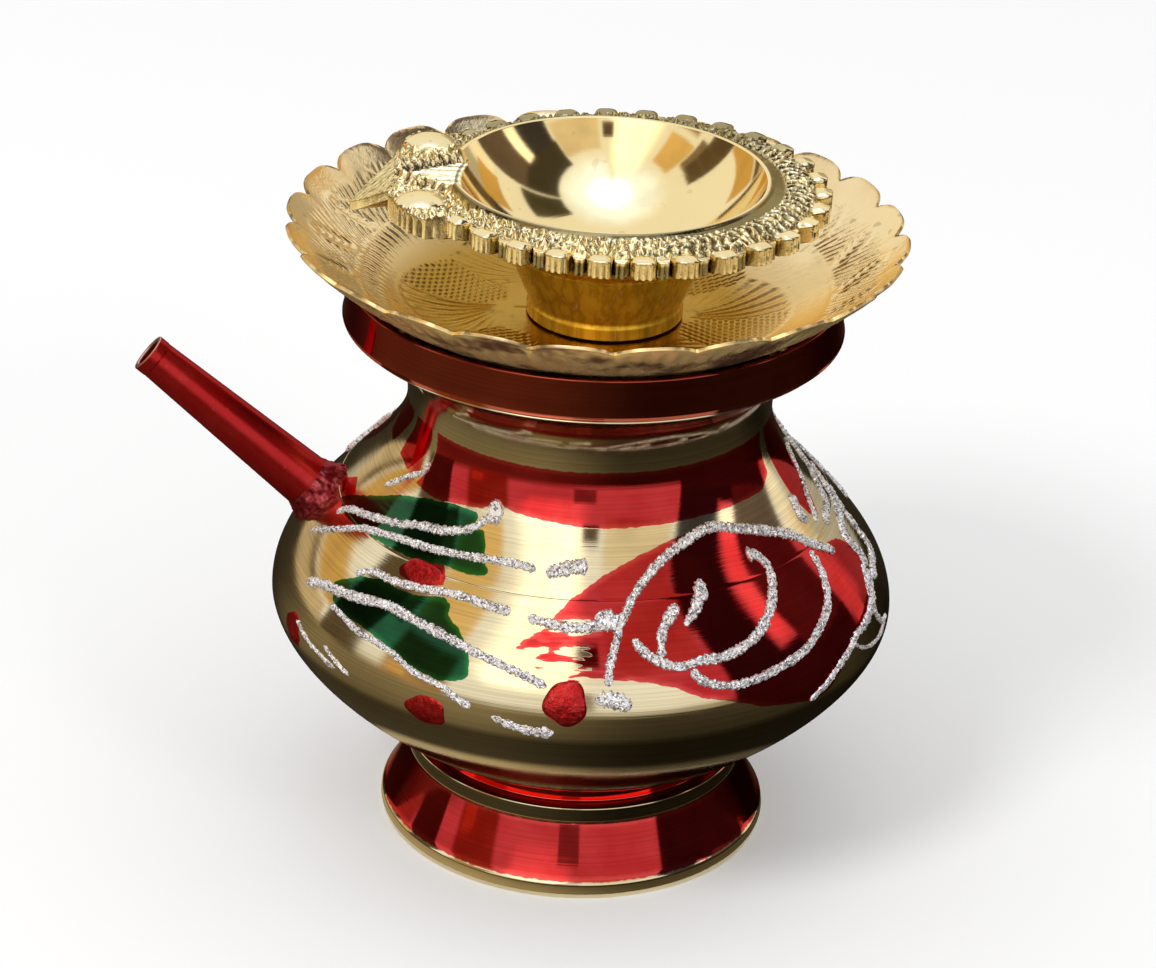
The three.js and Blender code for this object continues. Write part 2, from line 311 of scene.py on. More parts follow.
def tarnish_group():
    """Cloudy handling marks and small dark spots in a polished face."""
    group, start, end = new_group(
        "tarnish", [("Place", "place")], [("Cloud", "value"), ("Spots", "value")],
    )
    bench = Bench(group)
    place = start.outputs["Place"]
    cloud = bench.spread(bench.grain(place, 55.0, 3.0, 0.6), 0.42, 0.68)
    spots = bench.spread(bench.grain(place, 420.0, 1.0, 0.4), 0.7, 0.76)
    bench.feed(end.inputs["Cloud"], cloud)
    bench.feed(end.inputs["Spots"], spots)
    return group


def lacquer_group():
    """Clear tinted lacquer on brass: its colour, with paler worn edges and darker pools."""
    group, start, end = new_group(
        "tinted lacquer",
        [
            ("Place", "place"), ("Depth", "value"),
            ("Brass", "colour"), ("Tint", "colour"), ("Thin Tint", "colour"),
        ],
        [("Colour", "colour"), ("Cover", "value")],
    )
    bench = Bench(group)
    place = start.outputs["Place"]
    wobble = bench.maths("MULTIPLY", bench.maths("SUBTRACT", bench.grain(place, 900.0, 2.0), 0.5), 0.5)
    depth = bench.maths("ADD", start.outputs["Depth"], wobble)
    cover = bench.spread(depth, *lacquer_edge)
    thin = bench.spread(depth, 0.1, 1.1, 1.0, 0.0)
    pool = bench.spread(bench.grain(place, 130.0, 2.0), 0.35, 0.65)
    tint = bench.mix(bench.maths("MULTIPLY", thin, 0.75), start.outputs["Tint"], start.outputs["Thin Tint"])
    tint = bench.mix(bench.maths("MULTIPLY", pool, 0.22), tint, start.outputs["Thin Tint"])
    bench.feed(end.inputs["Colour"], bench.mix(cover, start.outputs["Brass"], tint))
    bench.feed(end.inputs["Cover"], cover)
    return group


turning_marks = turning_marks_group()
tarnish = tarnish_group()
lacquer = lacquer_group()

# Finishes

pot_brass_colour = (0.82, 0.72, 0.48, 1)
pot_brass_dull = (0.66, 0.54, 0.31, 1)
plate_brass_colour = (0.88, 0.70, 0.40, 1)
plate_brass_dull = (0.76, 0.54, 0.24, 1)
plate_shade_amber = (0.38, 0.21, 0.025, 1)
plate_under_colour = (0.94, 0.70, 0.28, 1)
plate_under_stain = (0.17, 0.07, 0.035, 1)
lamp_brass_colour = (0.90, 0.76, 0.44, 1)
lamp_brass_dull = (0.72, 0.54, 0.24, 1)
bowl_brass_colour = (0.90, 0.72, 0.36, 1)
# The pedestal's amber tones are painted reflection of the plate.
pedestal_reflected_amber = (0.84, 0.53, 0.045, 1)
pedestal_reflected_dark = (0.62, 0.35, 0.02, 1)
# Brown for grime in hollows and small spots, and for painted shade under the belly and in the lamp's
# recesses.
brown_grime_and_shade = (0.15, 0.115, 0.045, 1)
red_tint = (0.43, 0.010, 0.011, 1)
red_thin = (0.68, 0.06, 0.055, 1)
bead_tint = (0.20, 0.006, 0.014, 1)
bead_thin = (0.45, 0.09, 0.10, 1)
waist_tint = (0.95, 0.08, 0.05, 1)
green_tint = (0.003, 0.050, 0.017, 1)
green_thin = (0.015, 0.20, 0.05, 1)
strap_tint = (0.30, 0.04, 0.02, 1)
strap_thin = (0.46, 0.10, 0.045, 1)
silver_colour = (0.96, 0.95, 0.96, 1)
silver_dark = (0.32, 0.27, 0.28, 1)
spot_brown = (0.12, 0.06, 0.02, 1)
bubble_glint_pink = (0.8, 0.3, 0.3, 1)
tip_colour = (0.72, 0.42, 0.32, 1)
tip_dull = (0.5, 0.2, 0.14, 1)
plain_shine = (1, 1, 1, 1)
red_shine = (1, 0.25, 0.25, 1)
plate_shine = (1.0, 0.88, 0.62, 1)


def new_material(name):
    material = bpy.data.materials.new(name)
    material.use_nodes = True
    material.node_tree.nodes.clear()
    bench = Bench(material.node_tree)
    shader = bench.node("ShaderNodeBsdfPrincipled")
    output = bench.node("ShaderNodeOutputMaterial")
    bench.tree.links.new(shader.outputs[0], output.inputs["Surface"])
    place = bench.node("ShaderNodeTexCoord").outputs["Object"]
    return material, bench, shader, place


def add_bump(bench, shader, height, depth):
    """Bump of a given depth in metres, from a height between 0 and 1."""
    bump = bench.node("ShaderNodeBump")
    bump.inputs["Strength"].default_value = 1.0
    bump.inputs["Distance"].default_value = depth
    bench.feed(bump.inputs["Height"], height)
    bench.feed(shader.inputs["Normal"], bump.outputs[0])


def turned_brass(name, colour, dull, axis_mm, fineness, mark_depth, shine, wear=1.0):
    """Spun or turned brass: tool rings, handling clouds and small spots."""
    material, bench, shader, place = new_material(name)
    marks = bench.group(turning_marks, Place=place, Axis=axis_mm * MM, Fineness=fineness)
    film = bench.group(tarnish, Place=place)
    tone = bench.maths("MULTIPLY", film.outputs["Cloud"], 0.45 * wear)
    tone = bench.maths("ADD", tone, bench.maths("MULTIPLY", marks.outputs["Bands"], 0.3 * wear))
    base = bench.mix(tone, colour, dull)
    base = bench.mix(bench.maths("MULTIPLY", film.outputs["Spots"], 0.5 * wear), base, spot_brown)
    bench.feed(shader.inputs["Base Color"], base)
    shader.inputs["Metallic"].default_value = 1.0
    rough = bench.maths("MULTIPLY_ADD", film.outputs["Cloud"], 0.06 * wear, shine)
    rough = bench.maths("MULTIPLY_ADD", marks.outputs["Marks"], 0.06, rough)
    bench.feed(shader.inputs["Roughness"], rough)
    add_bump(bench, shader, marks.outputs["Marks"], mark_depth)
    return material


def lacquered_brass(name, axis_mm, fineness, mark_depth, paint_depths, shine=0.085, dark_below=None):
    """Turned brass under red or green lacquer, with painted shade in brown below a height."""
    material, bench, shader, place = new_material(name)
    marks = bench.group(turning_marks, Place=place, Axis=axis_mm * MM, Fineness=fineness)
    film = bench.group(tarnish, Place=place)
    clouding = bench.maths("MULTIPLY", film.outputs["Cloud"], 0.35)
    tone = bench.maths("MULTIPLY_ADD", marks.outputs["Bands"], 0.5, clouding)
    colour = bench.mix(tone, pot_brass_colour, pot_brass_dull)
    cover = 0.0
    painted = 0.0
    for depth, tint, thin in paint_depths(bench, place):
        painted = bench.maths("MAXIMUM", bench.spread(depth, *lacquer_edge), painted)
        coat = bench.group(lacquer, Place=place, Depth=depth, Brass=colour, Tint=tint, Thin_Tint=thin)
        colour = coat.outputs["Colour"]
        cover = bench.maths("MAXIMUM", coat.outputs["Cover"], cover)
    streak = bench.spread(marks.outputs["Marks"], 0.35, 0.65, 0.88, 1.08)
    colour = bench.mix(1.0, colour, streak, "MULTIPLY")
    # Below the given height the belly is painted brown: painted shade on its underside.
    if dark_below is not None:
        parts = bench.node("ShaderNodeSeparateXYZ")
        bench.feed(parts.inputs[0], place)
        painted_under_shade = bench.spread(parts.outputs[2], (dark_below - 2.0) * MM, dark_below * MM, 0.93, 0.0)
        colour = bench.mix(painted_under_shade, colour, brown_grime_and_shade)
    bench.feed(shader.inputs["Base Color"], colour)
    rough = bench.maths("MULTIPLY_ADD", film.outputs["Cloud"], 0.06, shine)
    rough = bench.maths("MULTIPLY_ADD", cover, -0.05, rough)
    shader.inputs["Metallic"].default_value = 1.0
    bench.feed(shader.inputs["Roughness"], rough)
    bench.feed(shader.inputs["Coat Weight"], bench.maths("MULTIPLY", cover, 0.3))
    shader.inputs["Coat Roughness"].default_value = 0.04
    bench.feed(shader.inputs["Specular Tint"], bench.mix(painted, plain_shine, red_shine))
    relief = bench.maths("MULTIPLY_ADD", marks.outputs["Bands"], 0.8, marks.outputs["Marks"])
    add_bump(bench, shader, bench.maths("MULTIPLY_ADD", cover, 0.4, relief), mark_depth)
    return material


def shell_paint(bench, place):
    red = bench.node("ShaderNodeAttribute", attribute_name="red_depth").outputs["Fac"]
    green = bench.node("ShaderNodeAttribute", attribute_name="green_depth").outputs["Fac"]
    brush = bench.node("ShaderNodeAttribute", attribute_name="brush").outputs["Fac"]
    slant = bench.node("ShaderNodeMapping")
    slant.inputs["Rotation"].default_value = (0, radians(38), 0)
    slant.inputs["Scale"].default_value = (0.16, 1.0, 1.0)
    bench.feed(slant.inputs["Vector"], place)
    streaks = bench.spread(bench.grain(slant.outputs[0], 780.0, 2.0, 0.6), 0.40, 0.62, -1.0, 1.0)
    ragged = bench.maths("MULTIPLY", bench.maths("MULTIPLY", streaks, brush), 1.8)
    return [
        (bench.maths("ADD", red, ragged), red_tint, red_thin),
        (green, green_tint, green_thin),
    ]


def height_zones(*zones, tint=red_tint, thin=red_thin):
    """A paint function for lacquer between pairs of heights in millimetres."""
    def paint(bench, place):
        parts = bench.node("ShaderNodeSeparateXYZ")
        bench.feed(parts.inputs[0], place)
        height = bench.maths("DIVIDE", parts.outputs[2], MM)
        result = None
        for low, high in zones:
            over_low = bench.maths("SUBTRACT", height, low)
            under_high = bench.maths("SUBTRACT", high, height)
            zone = bench.maths("MINIMUM", over_low, under_high)
            result = zone if result is None else bench.maths("MAXIMUM", result, zone)
        return [(result, tint, thin)]
    return paint


def wet_red(name, wrinkle_size, wrinkle_depth, thin_share=0.35, softness=0.2, tint=red_tint, thin=red_thin):
    """A thick coat of red lacquer, smooth or with wrinkles."""
    material, bench, shader, place = new_material(name)
    lumps = bench.grain(place, 1 / wrinkle_size, 3.0, 0.6)
    # Pale pink specks stand for small bubbles in the lacquer, with their glint painted in as colour.
    bubble_glints = bench.spread(bench.grain(place, 1500.0, 1.0), 0.68, 0.74)
    colour = bench.mix(bench.maths("MULTIPLY", bench.spread(lumps, 0.4, 0.75), thin_share), tint, thin)
    colour = bench.mix(bench.maths("MULTIPLY", bubble_glints, 0.08), colour, bubble_glint_pink)
    bench.feed(shader.inputs["Base Color"], colour)
    shader.inputs["Metallic"].default_value = 0.9
    shader.inputs["Roughness"].default_value = softness
    shader.inputs["Coat Weight"].default_value = 0.2
    shader.inputs["Coat Roughness"].default_value = softness * 0.6
    shader.inputs["Specular Tint"].default_value = red_shine
    add_bump(bench, shader, lumps, wrinkle_depth)
    return material


def silver_glitter(name):
    """Glitter glue: bright flakes with dark ones among them."""
    material, bench, shader, place = new_material(name)
    flake = bench.node("ShaderNodeTexVoronoi", feature="F1")
    bench.feed(flake.inputs["Vector"], place)
    flake.inputs["Scale"].default_value = 3200.0
    shade = bench.node("ShaderNodeSeparateColor")
    bench.feed(shade.inputs[0], flake.outputs["Color"])
    dark = bench.spread(shade.outputs[0], 0.68, 0.9)
    bench.feed(shader.inputs["Base Color"], bench.mix(dark, silver_colour, silver_dark))
    shader.inputs["Metallic"].default_value = 0.75
    bench.feed(shader.inputs["Roughness"], bench.spread(shade.outputs[1], 0.0, 1.0, 0.18, 0.5))
    add_bump(bench, shader, shade.outputs[2], 0.00012)
    return material


def embossed_brass(name, colour, dull, grime_and_shade_share, shine):
    """Pressed or cast brass, with grime left in its hollows, painted shade in the lamp's recesses and a
    duller underside.
    """
    material, bench, shader, place = new_material(name)
    film = bench.group(tarnish, Place=place)
    grime_and_shade = bench.node("ShaderNodeAttribute", attribute_name="grime_and_shade").outputs["Fac"]
    amber = bench.node("ShaderNodeAttribute", attribute_name="amber").outputs["Fac"]
    under = bench.node("ShaderNodeAttribute", attribute_name="under").outputs["Fac"]
    base = bench.mix(bench.maths("MULTIPLY", film.outputs["Cloud"], 0.35), colour, dull)
    # The amber mask paints the plate darker amber round and under the lamp: painted shade.
    base = bench.mix(amber, base, plate_shade_amber)
    # The mask is grime in the plate's hollows. On the lamp it is grime, plus painted shade in its recesses,
    # under its flange and on its far side.
    base = bench.mix(bench.maths("MULTIPLY", grime_and_shade, grime_and_shade_share), base, brown_grime_and_shade)
    base = bench.mix(bench.maths("MULTIPLY", film.outputs["Spots"], 0.35), base, brown_grime_and_shade)
    stain = bench.spread(bench.grain(place, 75.0, 3.0, 0.7), 0.46, 0.62)
    underside = bench.mix(stain, plate_under_colour, plate_under_stain)
    bench.feed(shader.inputs["Base Color"], bench.mix(bench.maths("MULTIPLY", under, 0.9), base, underside))
    bench.feed(shader.inputs["Metallic"], bench.maths("MULTIPLY_ADD", under, -0.25, 1.0))
    shader.inputs["Specular Tint"].default_value = plate_shine
    rough = bench.maths("MULTIPLY_ADD", film.outputs["Cloud"], 0.08, shine)
    bench.feed(shader.inputs["Roughness"], bench.maths("MULTIPLY_ADD", under, 0.08, rough))
    add_bump(bench, shader, bench.grain(place, 900.0, 3.0, 0.6), 0.00006)
    return material


def pedestal_painted_reflections(name):
    """Brass painted amber with streaks that run up and down: painted reflections of the plate, with painted
    glints in the brightest streaks.
    """
    material, bench, shader, place = new_material(name)
    film = bench.group(tarnish, Place=place)
    stretched = bench.node("ShaderNodeMapping")
    stretched.inputs["Scale"].default_value = (1.0, 1.0, 0.06)
    bench.feed(stretched.inputs["Vector"], place)
    streaks = bench.grain(stretched.outputs[0], 900.0, 2.0, 0.6)
    colour = bench.mix(bench.spread(streaks, 0.4, 0.62), pedestal_reflected_amber, pedestal_reflected_dark)
    # The brightest streaks are painted glints.
    bright = bench.maths("MULTIPLY", bench.spread(streaks, 0.66, 0.74), 0.5)
    colour = bench.mix(bright, colour, lamp_brass_colour)
    bench.feed(shader.inputs["Base Color"], colour)
    shader.inputs["Metallic"].default_value = 0.65
    bench.feed(shader.inputs["Roughness"], bench.maths("MULTIPLY_ADD", film.outputs["Cloud"], 0.08, 0.22))
    add_bump(bench, shader, streaks, 0.00005)
    return material


# Height above the belly's bottom up to which it gets painted shade in brown.
under_shade_height = 5.0
foot_flare_zone = (3.0, 11.8)
foot_waist_zone = (14.8, 40.0)
strap_bare_edge = 0.6
above_all = 200.0

pot_finish = lacquered_brass(
    "painted pot brass", pot_x, 2600.0, 0.00001, shell_paint, dark_below=belly_bottom + under_shade_height,
)


def foot_paint(bench, place):
    flare = height_zones(foot_flare_zone)
    waist = height_zones(foot_waist_zone, tint=waist_tint, thin=waist_tint)
    return flare(bench, place) + waist(bench, place)


foot_finish = lacquered_brass("painted foot brass", pot_x, 2200.0, 0.00001, foot_paint)
band_paint = height_zones((flare_top + strap_bare_edge, above_all), tint=strap_tint, thin=strap_thin)
band_finish = lacquered_brass("painted mouth band", pot_x, 1800.0, 0.00001, band_paint)
spout_finish = wet_red("spout lacquer", 0.004, 0.00006, 0.15, softness=0.28)
bead_finish = wet_red(
    "solder bead lacquer", 0.0012, 0.0002, 0.7, softness=0.3, tint=bead_tint, thin=bead_thin,
)
tip_finish = turned_brass("worn spout tip", tip_colour, tip_dull, pot_x, 900.0, 0.00001, 0.25)
drop_finish = wet_red("lacquer drops", 0.0012, 0.0003, 0.4)
glitter_finish = silver_glitter("silver glitter")
plate_finish = embossed_brass("pressed plate brass", plate_brass_colour, plate_brass_dull, 0.3, 0.19)
lamp_finish = embossed_brass("cast lamp brass", lamp_brass_colour, lamp_brass_dull, 0.95, 0.12)
bowl_finish = turned_brass(
    "polished bowl brass", bowl_brass_colour, lamp_brass_dull, lamp_x, 1500.0, 0.000004, 0.05, 0.3,
)
pedestal_finish = pedestal_painted_reflections("amber pedestal brass")

# Foot: flared ring with a rim band and a ledge under its waist

foot_rim_height = 2.7
foot_flare_radius = 28.1
foot_flare_pull = 29.9
foot_ledge_bottom = 11.9
foot_ledge_radius = 28.6
foot_ledge_height = 3.2
foot_waist_radius = 26.5
foot_wall = 1.3
round_steps = 384

foot_flare = bezier([
    (foot_radius - gap, foot_rim_height),
    (foot_flare_pull, (foot_rim_height + foot_ledge_bottom) / 2),
    (foot_flare_radius, foot_ledge_bottom),
], 18)
foot_ledge_top = foot_ledge_bottom + foot_ledge_height
foot_outline = [
    (foot_radius - gap, 0),
    (foot_radius, foot_rim_height / 2),
    (foot_radius - gap / 2, foot_rim_height),
    *foot_flare[1:],
    (foot_ledge_radius, foot_ledge_bottom + gap),
    (foot_ledge_radius, foot_ledge_top - gap),
    (foot_waist_radius, foot_ledge_top),
    (foot_waist_radius, foot_height),
    (foot_waist_radius - foot_wall, foot_height),
    (foot_waist_radius - foot_wall, foot_ledge_top - foot_wall),
    *moved_in(foot_flare, foot_wall)[::-1],
    (foot_radius - foot_wall, foot_rim_height),
    (foot_radius - foot_wall, 0),
]
foot_points, foot_faces = turned(eased(foot_outline, 0.25), round_steps)
mesh_piece("foot", stood_at(foot_points, pot_x), foot_faces, foot_finish, "pot", "foot_brass", "foot_ring")

# Pot shells: one profile, parted at the belly seam

pot_wall = 1.1
belly_base_radius = 27.4
belly_rise = 24.3
belly_lower_fullness = 8.0
belly_lower_slope = radians(19)
belly_upper_fullness = 13.5
seam_share = 0.505
neck_radius = 30.1
neck_rise = 35.3
neck_fullness = 11.9
flare_radius = 40.3
flare_straight = 9.0
flare_spread = 4.2
flare_edge = 2.6
shell_steps = 720

belly_centre = belly_bottom + belly_rise
neck_centre = belly_centre + neck_rise
lower_pull = (
    belly_base_radius + belly_lower_fullness * cos(belly_lower_slope),
    belly_bottom + belly_lower_fullness * sin(belly_lower_slope),
)
lower_belly = bezier([
    (belly_base_radius, belly_bottom),
    lower_pull,
    (belly_radius, belly_centre - belly_lower_fullness),
    (belly_radius, belly_centre),
], 56)
upper_belly = bezier([
    (belly_radius, belly_centre),
    (belly_radius, belly_centre + belly_upper_fullness),
    (neck_radius, neck_centre - neck_fullness),
    (neck_radius, neck_centre),
], 100)
neck_flare = bezier([
    (neck_radius, neck_centre),
    (neck_radius, neck_centre + flare_straight),
    (flare_radius - flare_spread, flare_top - flare_edge),
    (flare_radius, flare_top),
], 40)
pot_profile = np.concatenate((lower_belly, upper_belly[1:], neck_flare[1:]))
seam_row = round(seam_share * (len(upper_belly) - 1))


def pot_radius(height):
    return np.interp(height, pot_profile[:, 1], pot_profile[:, 0])


def on_pot(turn, height, proud=0.0):
    """The place on the pot at a turn in degrees from the front and a height, and the way out from it."""
    turn = np.radians(np.asarray(turn, float))
    height = np.asarray(height, float)
    radius = pot_radius(height)
    slope = (pot_radius(height + 0.4) - pot_radius(height - 0.4)) / 0.8
    outward = np.stack((np.sin(turn), -np.cos(turn), -slope), axis=-1)
    outward /= np.linalg.norm(outward, axis=-1, keepdims=True)
    place = np.stack((radius * np.sin(turn), -radius * np.cos(turn), height), axis=-1)
    return place + outward * proud, outward


# Painting: outlines of lacquer as (degrees from the front, height), drawn once and again on the far side

red_shapes = {
    "front petal": [
        (-54, 79), (-52.8, 74.6), (-53, 71.3), (-55, 69), (-49, 68.6), (-44, 68.5), (-39, 69),
        (-30, 69.6), (-25, 71), (-20, 70.2), (-9.5, 69.7), (4.5, 69.2), (28, 69.4), (49.5, 69.5),
        (60, 69.4), (66, 70.8), (68, 79),
    ],
    "first left petal": [
        (-57, 79), (-56, 75.7), (-57, 72.9), (-61.6, 69.6), (-70, 70.4), (-70.3, 72.4), (-68, 75.7),
        (-67, 79),
    ],
    "second left petal": [
        (-70, 79), (-71, 76), (-76.9, 71.6), (-79, 70.2), (-86, 70.5), (-91, 74), (-92, 79),
    ],
    "right petal": [
        (71, 79), (71.5, 70), (71, 65.4), (72.5, 63), (76, 62), (80, 64), (84, 66), (88, 70), (93, 79),
    ],
    "paisley": [
        (-6.3, 57.8), (-1.8, 60.7), (4.4, 63.2), (9.3, 64.6), (14.6, 65.8), (20.3, 66.8), (26.4, 67.5),
        (33, 68), (39.7, 68), (45.8, 67), (54.4, 65), (62.6, 62.5), (69, 59.4), (75, 58.5), (80, 56),
        (78, 51.5), (70, 48.5), (64.3, 47), (60.1, 46.1), (56.2, 44.5), (51.9, 41.9), (47.7, 41.3),
        (43.7, 42.1), (34.7, 43.9), (28.6, 46), (22.8, 47.3), (18.3, 49.2), (13.6, 50.1), (8.9, 50.5),
        (4.3, 50.3), (0.3, 50.5), (1.1, 52.9), (1.4, 54.2), (-2.5, 54.1), (-4.8, 52.9), (-7.5, 52.7),
        (-6.8, 54.6), (-12, 53.9), (-9.6, 55.9), (-6.8, 57.1), (-4.7, 56.7), (-0.7, 56.6), (4, 57.2),
        (2, 58.2),
    ],
    "spot between leaves": [
        (-43.9, 59.4), (-41.7, 60.9), (-37.8, 61.6), (-33.1, 61.6), (-31.5, 60.3), (-31.2, 59.3),
        (-34.7, 58.7), (-38.8, 58.2), (-42.5, 58.5),
    ],
    "left spot": [
        (-67.6, 44.4), (-63.9, 46.2), (-60.5, 42.5), (-61.7, 40.5), (-67.3, 42.2),
    ],
    "patch by the spout": [
        (-86.8, 61), (-80, 63.4), (-73.3, 62.3), (-79, 60.7),
    ],
}
green_shapes = {
    "upper leaf": [
        (-78, 60.4), (-76, 61.6), (-58, 66.5), (-49, 68), (-39, 68.9), (-31, 69), (-29.5, 68.3),
        (-30.5, 67.3), (-26.8, 66.9), (-25, 65.4), (-24.4, 64), (-23.3, 63), (-22.3, 62.6), (-22, 61.9),
        (-25.1, 61.5), (-29.5, 61.5), (-33.4, 61.6), (-41, 60.9), (-47.3, 60.8), (-54.7, 60.6),
        (-62.4, 60.3), (-70, 59.9),
    ],
    "lower leaf": [
        (-57.5, 53.7), (-51.6, 56.2), (-46.4, 57.1), (-41.1, 57), (-35.8, 57.2), (-32.4, 57.7),
        (-29.7, 58.1), (-27.9, 57.5), (-27.4, 56.2), (-26, 55.6), (-24.2, 55), (-21.6, 53.1),
        (-20.5, 51.9), (-19.8, 49.3), (-20.6, 48.5), (-25.3, 47.6), (-28.5, 48), (-31.9, 48.2),
        (-36, 49.4), (-40.2, 50.2), (-46.1, 50.8), (-50.8, 50.9), (-55, 51.4),
    ],
}
degree_width = 0.8
height_width = 1.15


def depth_inside(outlines, turn, height):
    """Signed distance in millimetres into the nearest of some closed outlines."""
    across, up = turn * degree_width, height * height_width
    deepest = np.full(len(turn), -50.0)
    for outline in outlines:
        corners = np.array(outline) * (degree_width, height_width)
        nearest = np.full(len(turn), 1e9)
        inside = np.zeros(len(turn), bool)
        for (x0, y0), (x1, y1) in zip(corners, np.roll(corners, -1, axis=0)):
            run, rise = x1 - x0, y1 - y0
            share = np.clip(((across - x0) * run + (up - y0) * rise) / (run * run + rise * rise), 0, 1)
            nearest = np.minimum(nearest, np.hypot(across - x0 - share * run, up - y0 - share * rise))
            crosses = (y0 > up) != (y1 > up)
            with np.errstate(divide="ignore", invalid="ignore"):
                inside ^= crosses & (across < run * (up - y0) / rise + x0)
        deepest = np.maximum(deepest, np.where(inside, nearest, -nearest))
    return deepest


def both_sides(outlines, turn, height):
    far_turn = (turn + 360) % 360 - 180
    return np.maximum(depth_inside(outlines, turn, height), depth_inside(outlines, far_turn, height))


def add_painting(piece):
    """Stores how deep each point of a shell lies in the red and green shapes."""
    count = len(piece.data.vertices)
    place = np.zeros(count * 3)
    piece.data.vertices.foreach_get("co", place)
    place = place.reshape(-1, 3) / MM - (pot_x, 0, 0)
    turn = np.degrees(np.arctan2(place[:, 0], -place[:, 1]))
    height = place[:, 2]
    outer = np.hypot(place[:, 0], place[:, 1]) > pot_radius(height) - pot_wall / 2
    neck_line = neck_centre - height
    red = np.minimum(both_sides(red_shapes.values(), turn, height), neck_line)
    green = both_sides(green_shapes.values(), turn, height)
    near_tip = np.exp(-((turn % 180 - 180 * (turn % 180 > 90) + 1) / 9) ** 2 - ((height - 52) / 4) ** 2)
    add_values(piece.data, "red_depth", np.where(outer, red, -5))
    add_values(piece.data, "green_depth", np.where(outer, green, -5))
    add_values(piece.data, "brush", near_tip)


belly_outer = np.concatenate((lower_belly, upper_belly[1:seam_row + 1]))
belly_inner = moved_in(belly_outer, pot_wall)[::-1]
belly_outline = [(0, belly_bottom), *belly_outer, *belly_inner, (0, belly_bottom + pot_wall)]
belly_points, belly_faces = turned(eased(belly_outline, 0.09), shell_steps)
belly = mesh_piece(
    "belly", stood_at(belly_points, pot_x), belly_faces, pot_finish, "pot", "pot_brass", "belly_bowl",
)
shoulder_outer = np.concatenate((upper_belly[seam_row:], neck_flare[1:]))
shoulder_outline = [*shoulder_outer, *moved_in(shoulder_outer, pot_wall)[::-1]]
shoulder_points, shoulder_faces = turned(eased(shoulder_outline, 0.09), shell_steps)
shoulder = mesh_piece(
    "shoulder", stood_at(shoulder_points, pot_x), shoulder_faces, pot_finish, "pot", "pot_brass",
    "shoulder_neck",
)
add_painting(belly)
add_painting(shoulder)

# Mouth band: a lacquered strap with a bead along its lower edge

mouth_bead_height = 0.8
mouth_taper = 0.5
band_bottom = flare_top + gap
mouth_outline = [
    (flare_radius, band_bottom),
    (mouth_radius + mouth_proud, band_bottom + mouth_bead_height / 2),
    (mouth_radius, band_bottom + mouth_bead_height),
    (mouth_radius - mouth_taper, mouth_top),
    (mouth_radius - mouth_taper - pot_wall, mouth_top),
    (mouth_radius - pot_wall, band_bottom + mouth_bead_height),
    (flare_radius - pot_wall, band_bottom),
]
band_points, band_faces = turned(eased(mouth_outline, 0.25), round_steps)
mesh_piece(
    "mouth_strap", stood_at(band_points, pot_x), band_faces, band_finish, "pot", "band_brass",
    "mouth_band",
)

# Spout: a tapered tube from the belly, with a lump of solder round its root

spout_rise = radians(40)
spout_length = 37.5
spout_root_radius = 4.7
spout_tip_radius = 3.2
spout_wall = 0.8
spout_inside = 2.2
spout_tip_band = 1.9
spout_tip_proud = 0.15
spout_root_share = 0.4
collar_width = 1.8
collar_height = 3.2
spout_seat = upper_belly[round(spout_root_share * (len(upper_belly) - 1))]


def on_spout(points):
    """Lays points made along +Z on the spout's line, which leaves the belly to the left."""
    across, aside, ahead = np.asarray(points).T
    slant = pi / 2 - spout_rise
    x = across * cos(slant) - ahead * sin(slant)
    z = across * sin(slant) + ahead * cos(slant)
    return np.stack((x - spout_seat[0] + pot_x, aside, z + spout_seat[1]), axis=-1)


spout_band_start = spout_length - spout_tip_band
spout_band_radius = spout_tip_radius + (spout_root_radius - spout_tip_radius) * spout_tip_band / spout_length
spout_outline = eased([
    (spout_root_radius, -spout_inside),
    (spout_root_radius, 0),
    (spout_band_radius, spout_band_start),
    (spout_tip_radius + spout_tip_proud, spout_band_start + spout_tip_proud),
    (spout_tip_radius + spout_tip_proud, spout_length),
    (spout_tip_radius - spout_wall, spout_length),
    (spout_root_radius - spout_wall, 0),
    (spout_root_radius - spout_wall, -spout_inside),
], 0.2)
spout_points, spout_faces = turned(spout_outline, 96)
spout_tube = mesh_piece(
    "spout_tube", on_spout(spout_points), spout_faces, spout_finish, "pot", "spout_brass", "spout",
)
spout_tube.data.materials.append(tip_finish)
spout_end = on_spout([(0, 0, spout_length)])[0]
for face in spout_tube.data.polygons:
    if (Vector(spout_end) - face.center / MM).length < spout_tip_radius + 0.1:
        face.material_index = 1

collar_bead = bezier([
    (spout_root_radius + collar_width, 0),
    (spout_root_radius + collar_width / 2, collar_height / 2),
    (spout_root_radius + 0.3, collar_height),
], 10)
collar_outline = [
    (spout_root_radius + collar_width, -spout_root_radius / 2),
    *collar_bead,
    (spout_root_radius, 0),
    (spout_root_radius, -spout_root_radius / 2),
]
collar_points, collar_faces = turned(eased(collar_outline, 0.3), 128)
collar_lumps = pebbles(collar_points, 2.0, 7.0) * 0.4 + pebbles(collar_points, 0.8, 3.0) * 0.35 - 0.55
collar_swell = 1 + collar_lumps / (spout_root_radius + collar_width)
collar_points = collar_points * np.stack((collar_swell, collar_swell, np.ones_like(collar_swell)), axis=-1)
mesh_piece(
    "solder_bead", on_spout(collar_points), collar_faces, bead_finish, "pot", "solder_bead",
    "spout_collar",
)

# Plate: a deep dish of pressed sheet with a scalloped rim, smooth and patterned bands inside

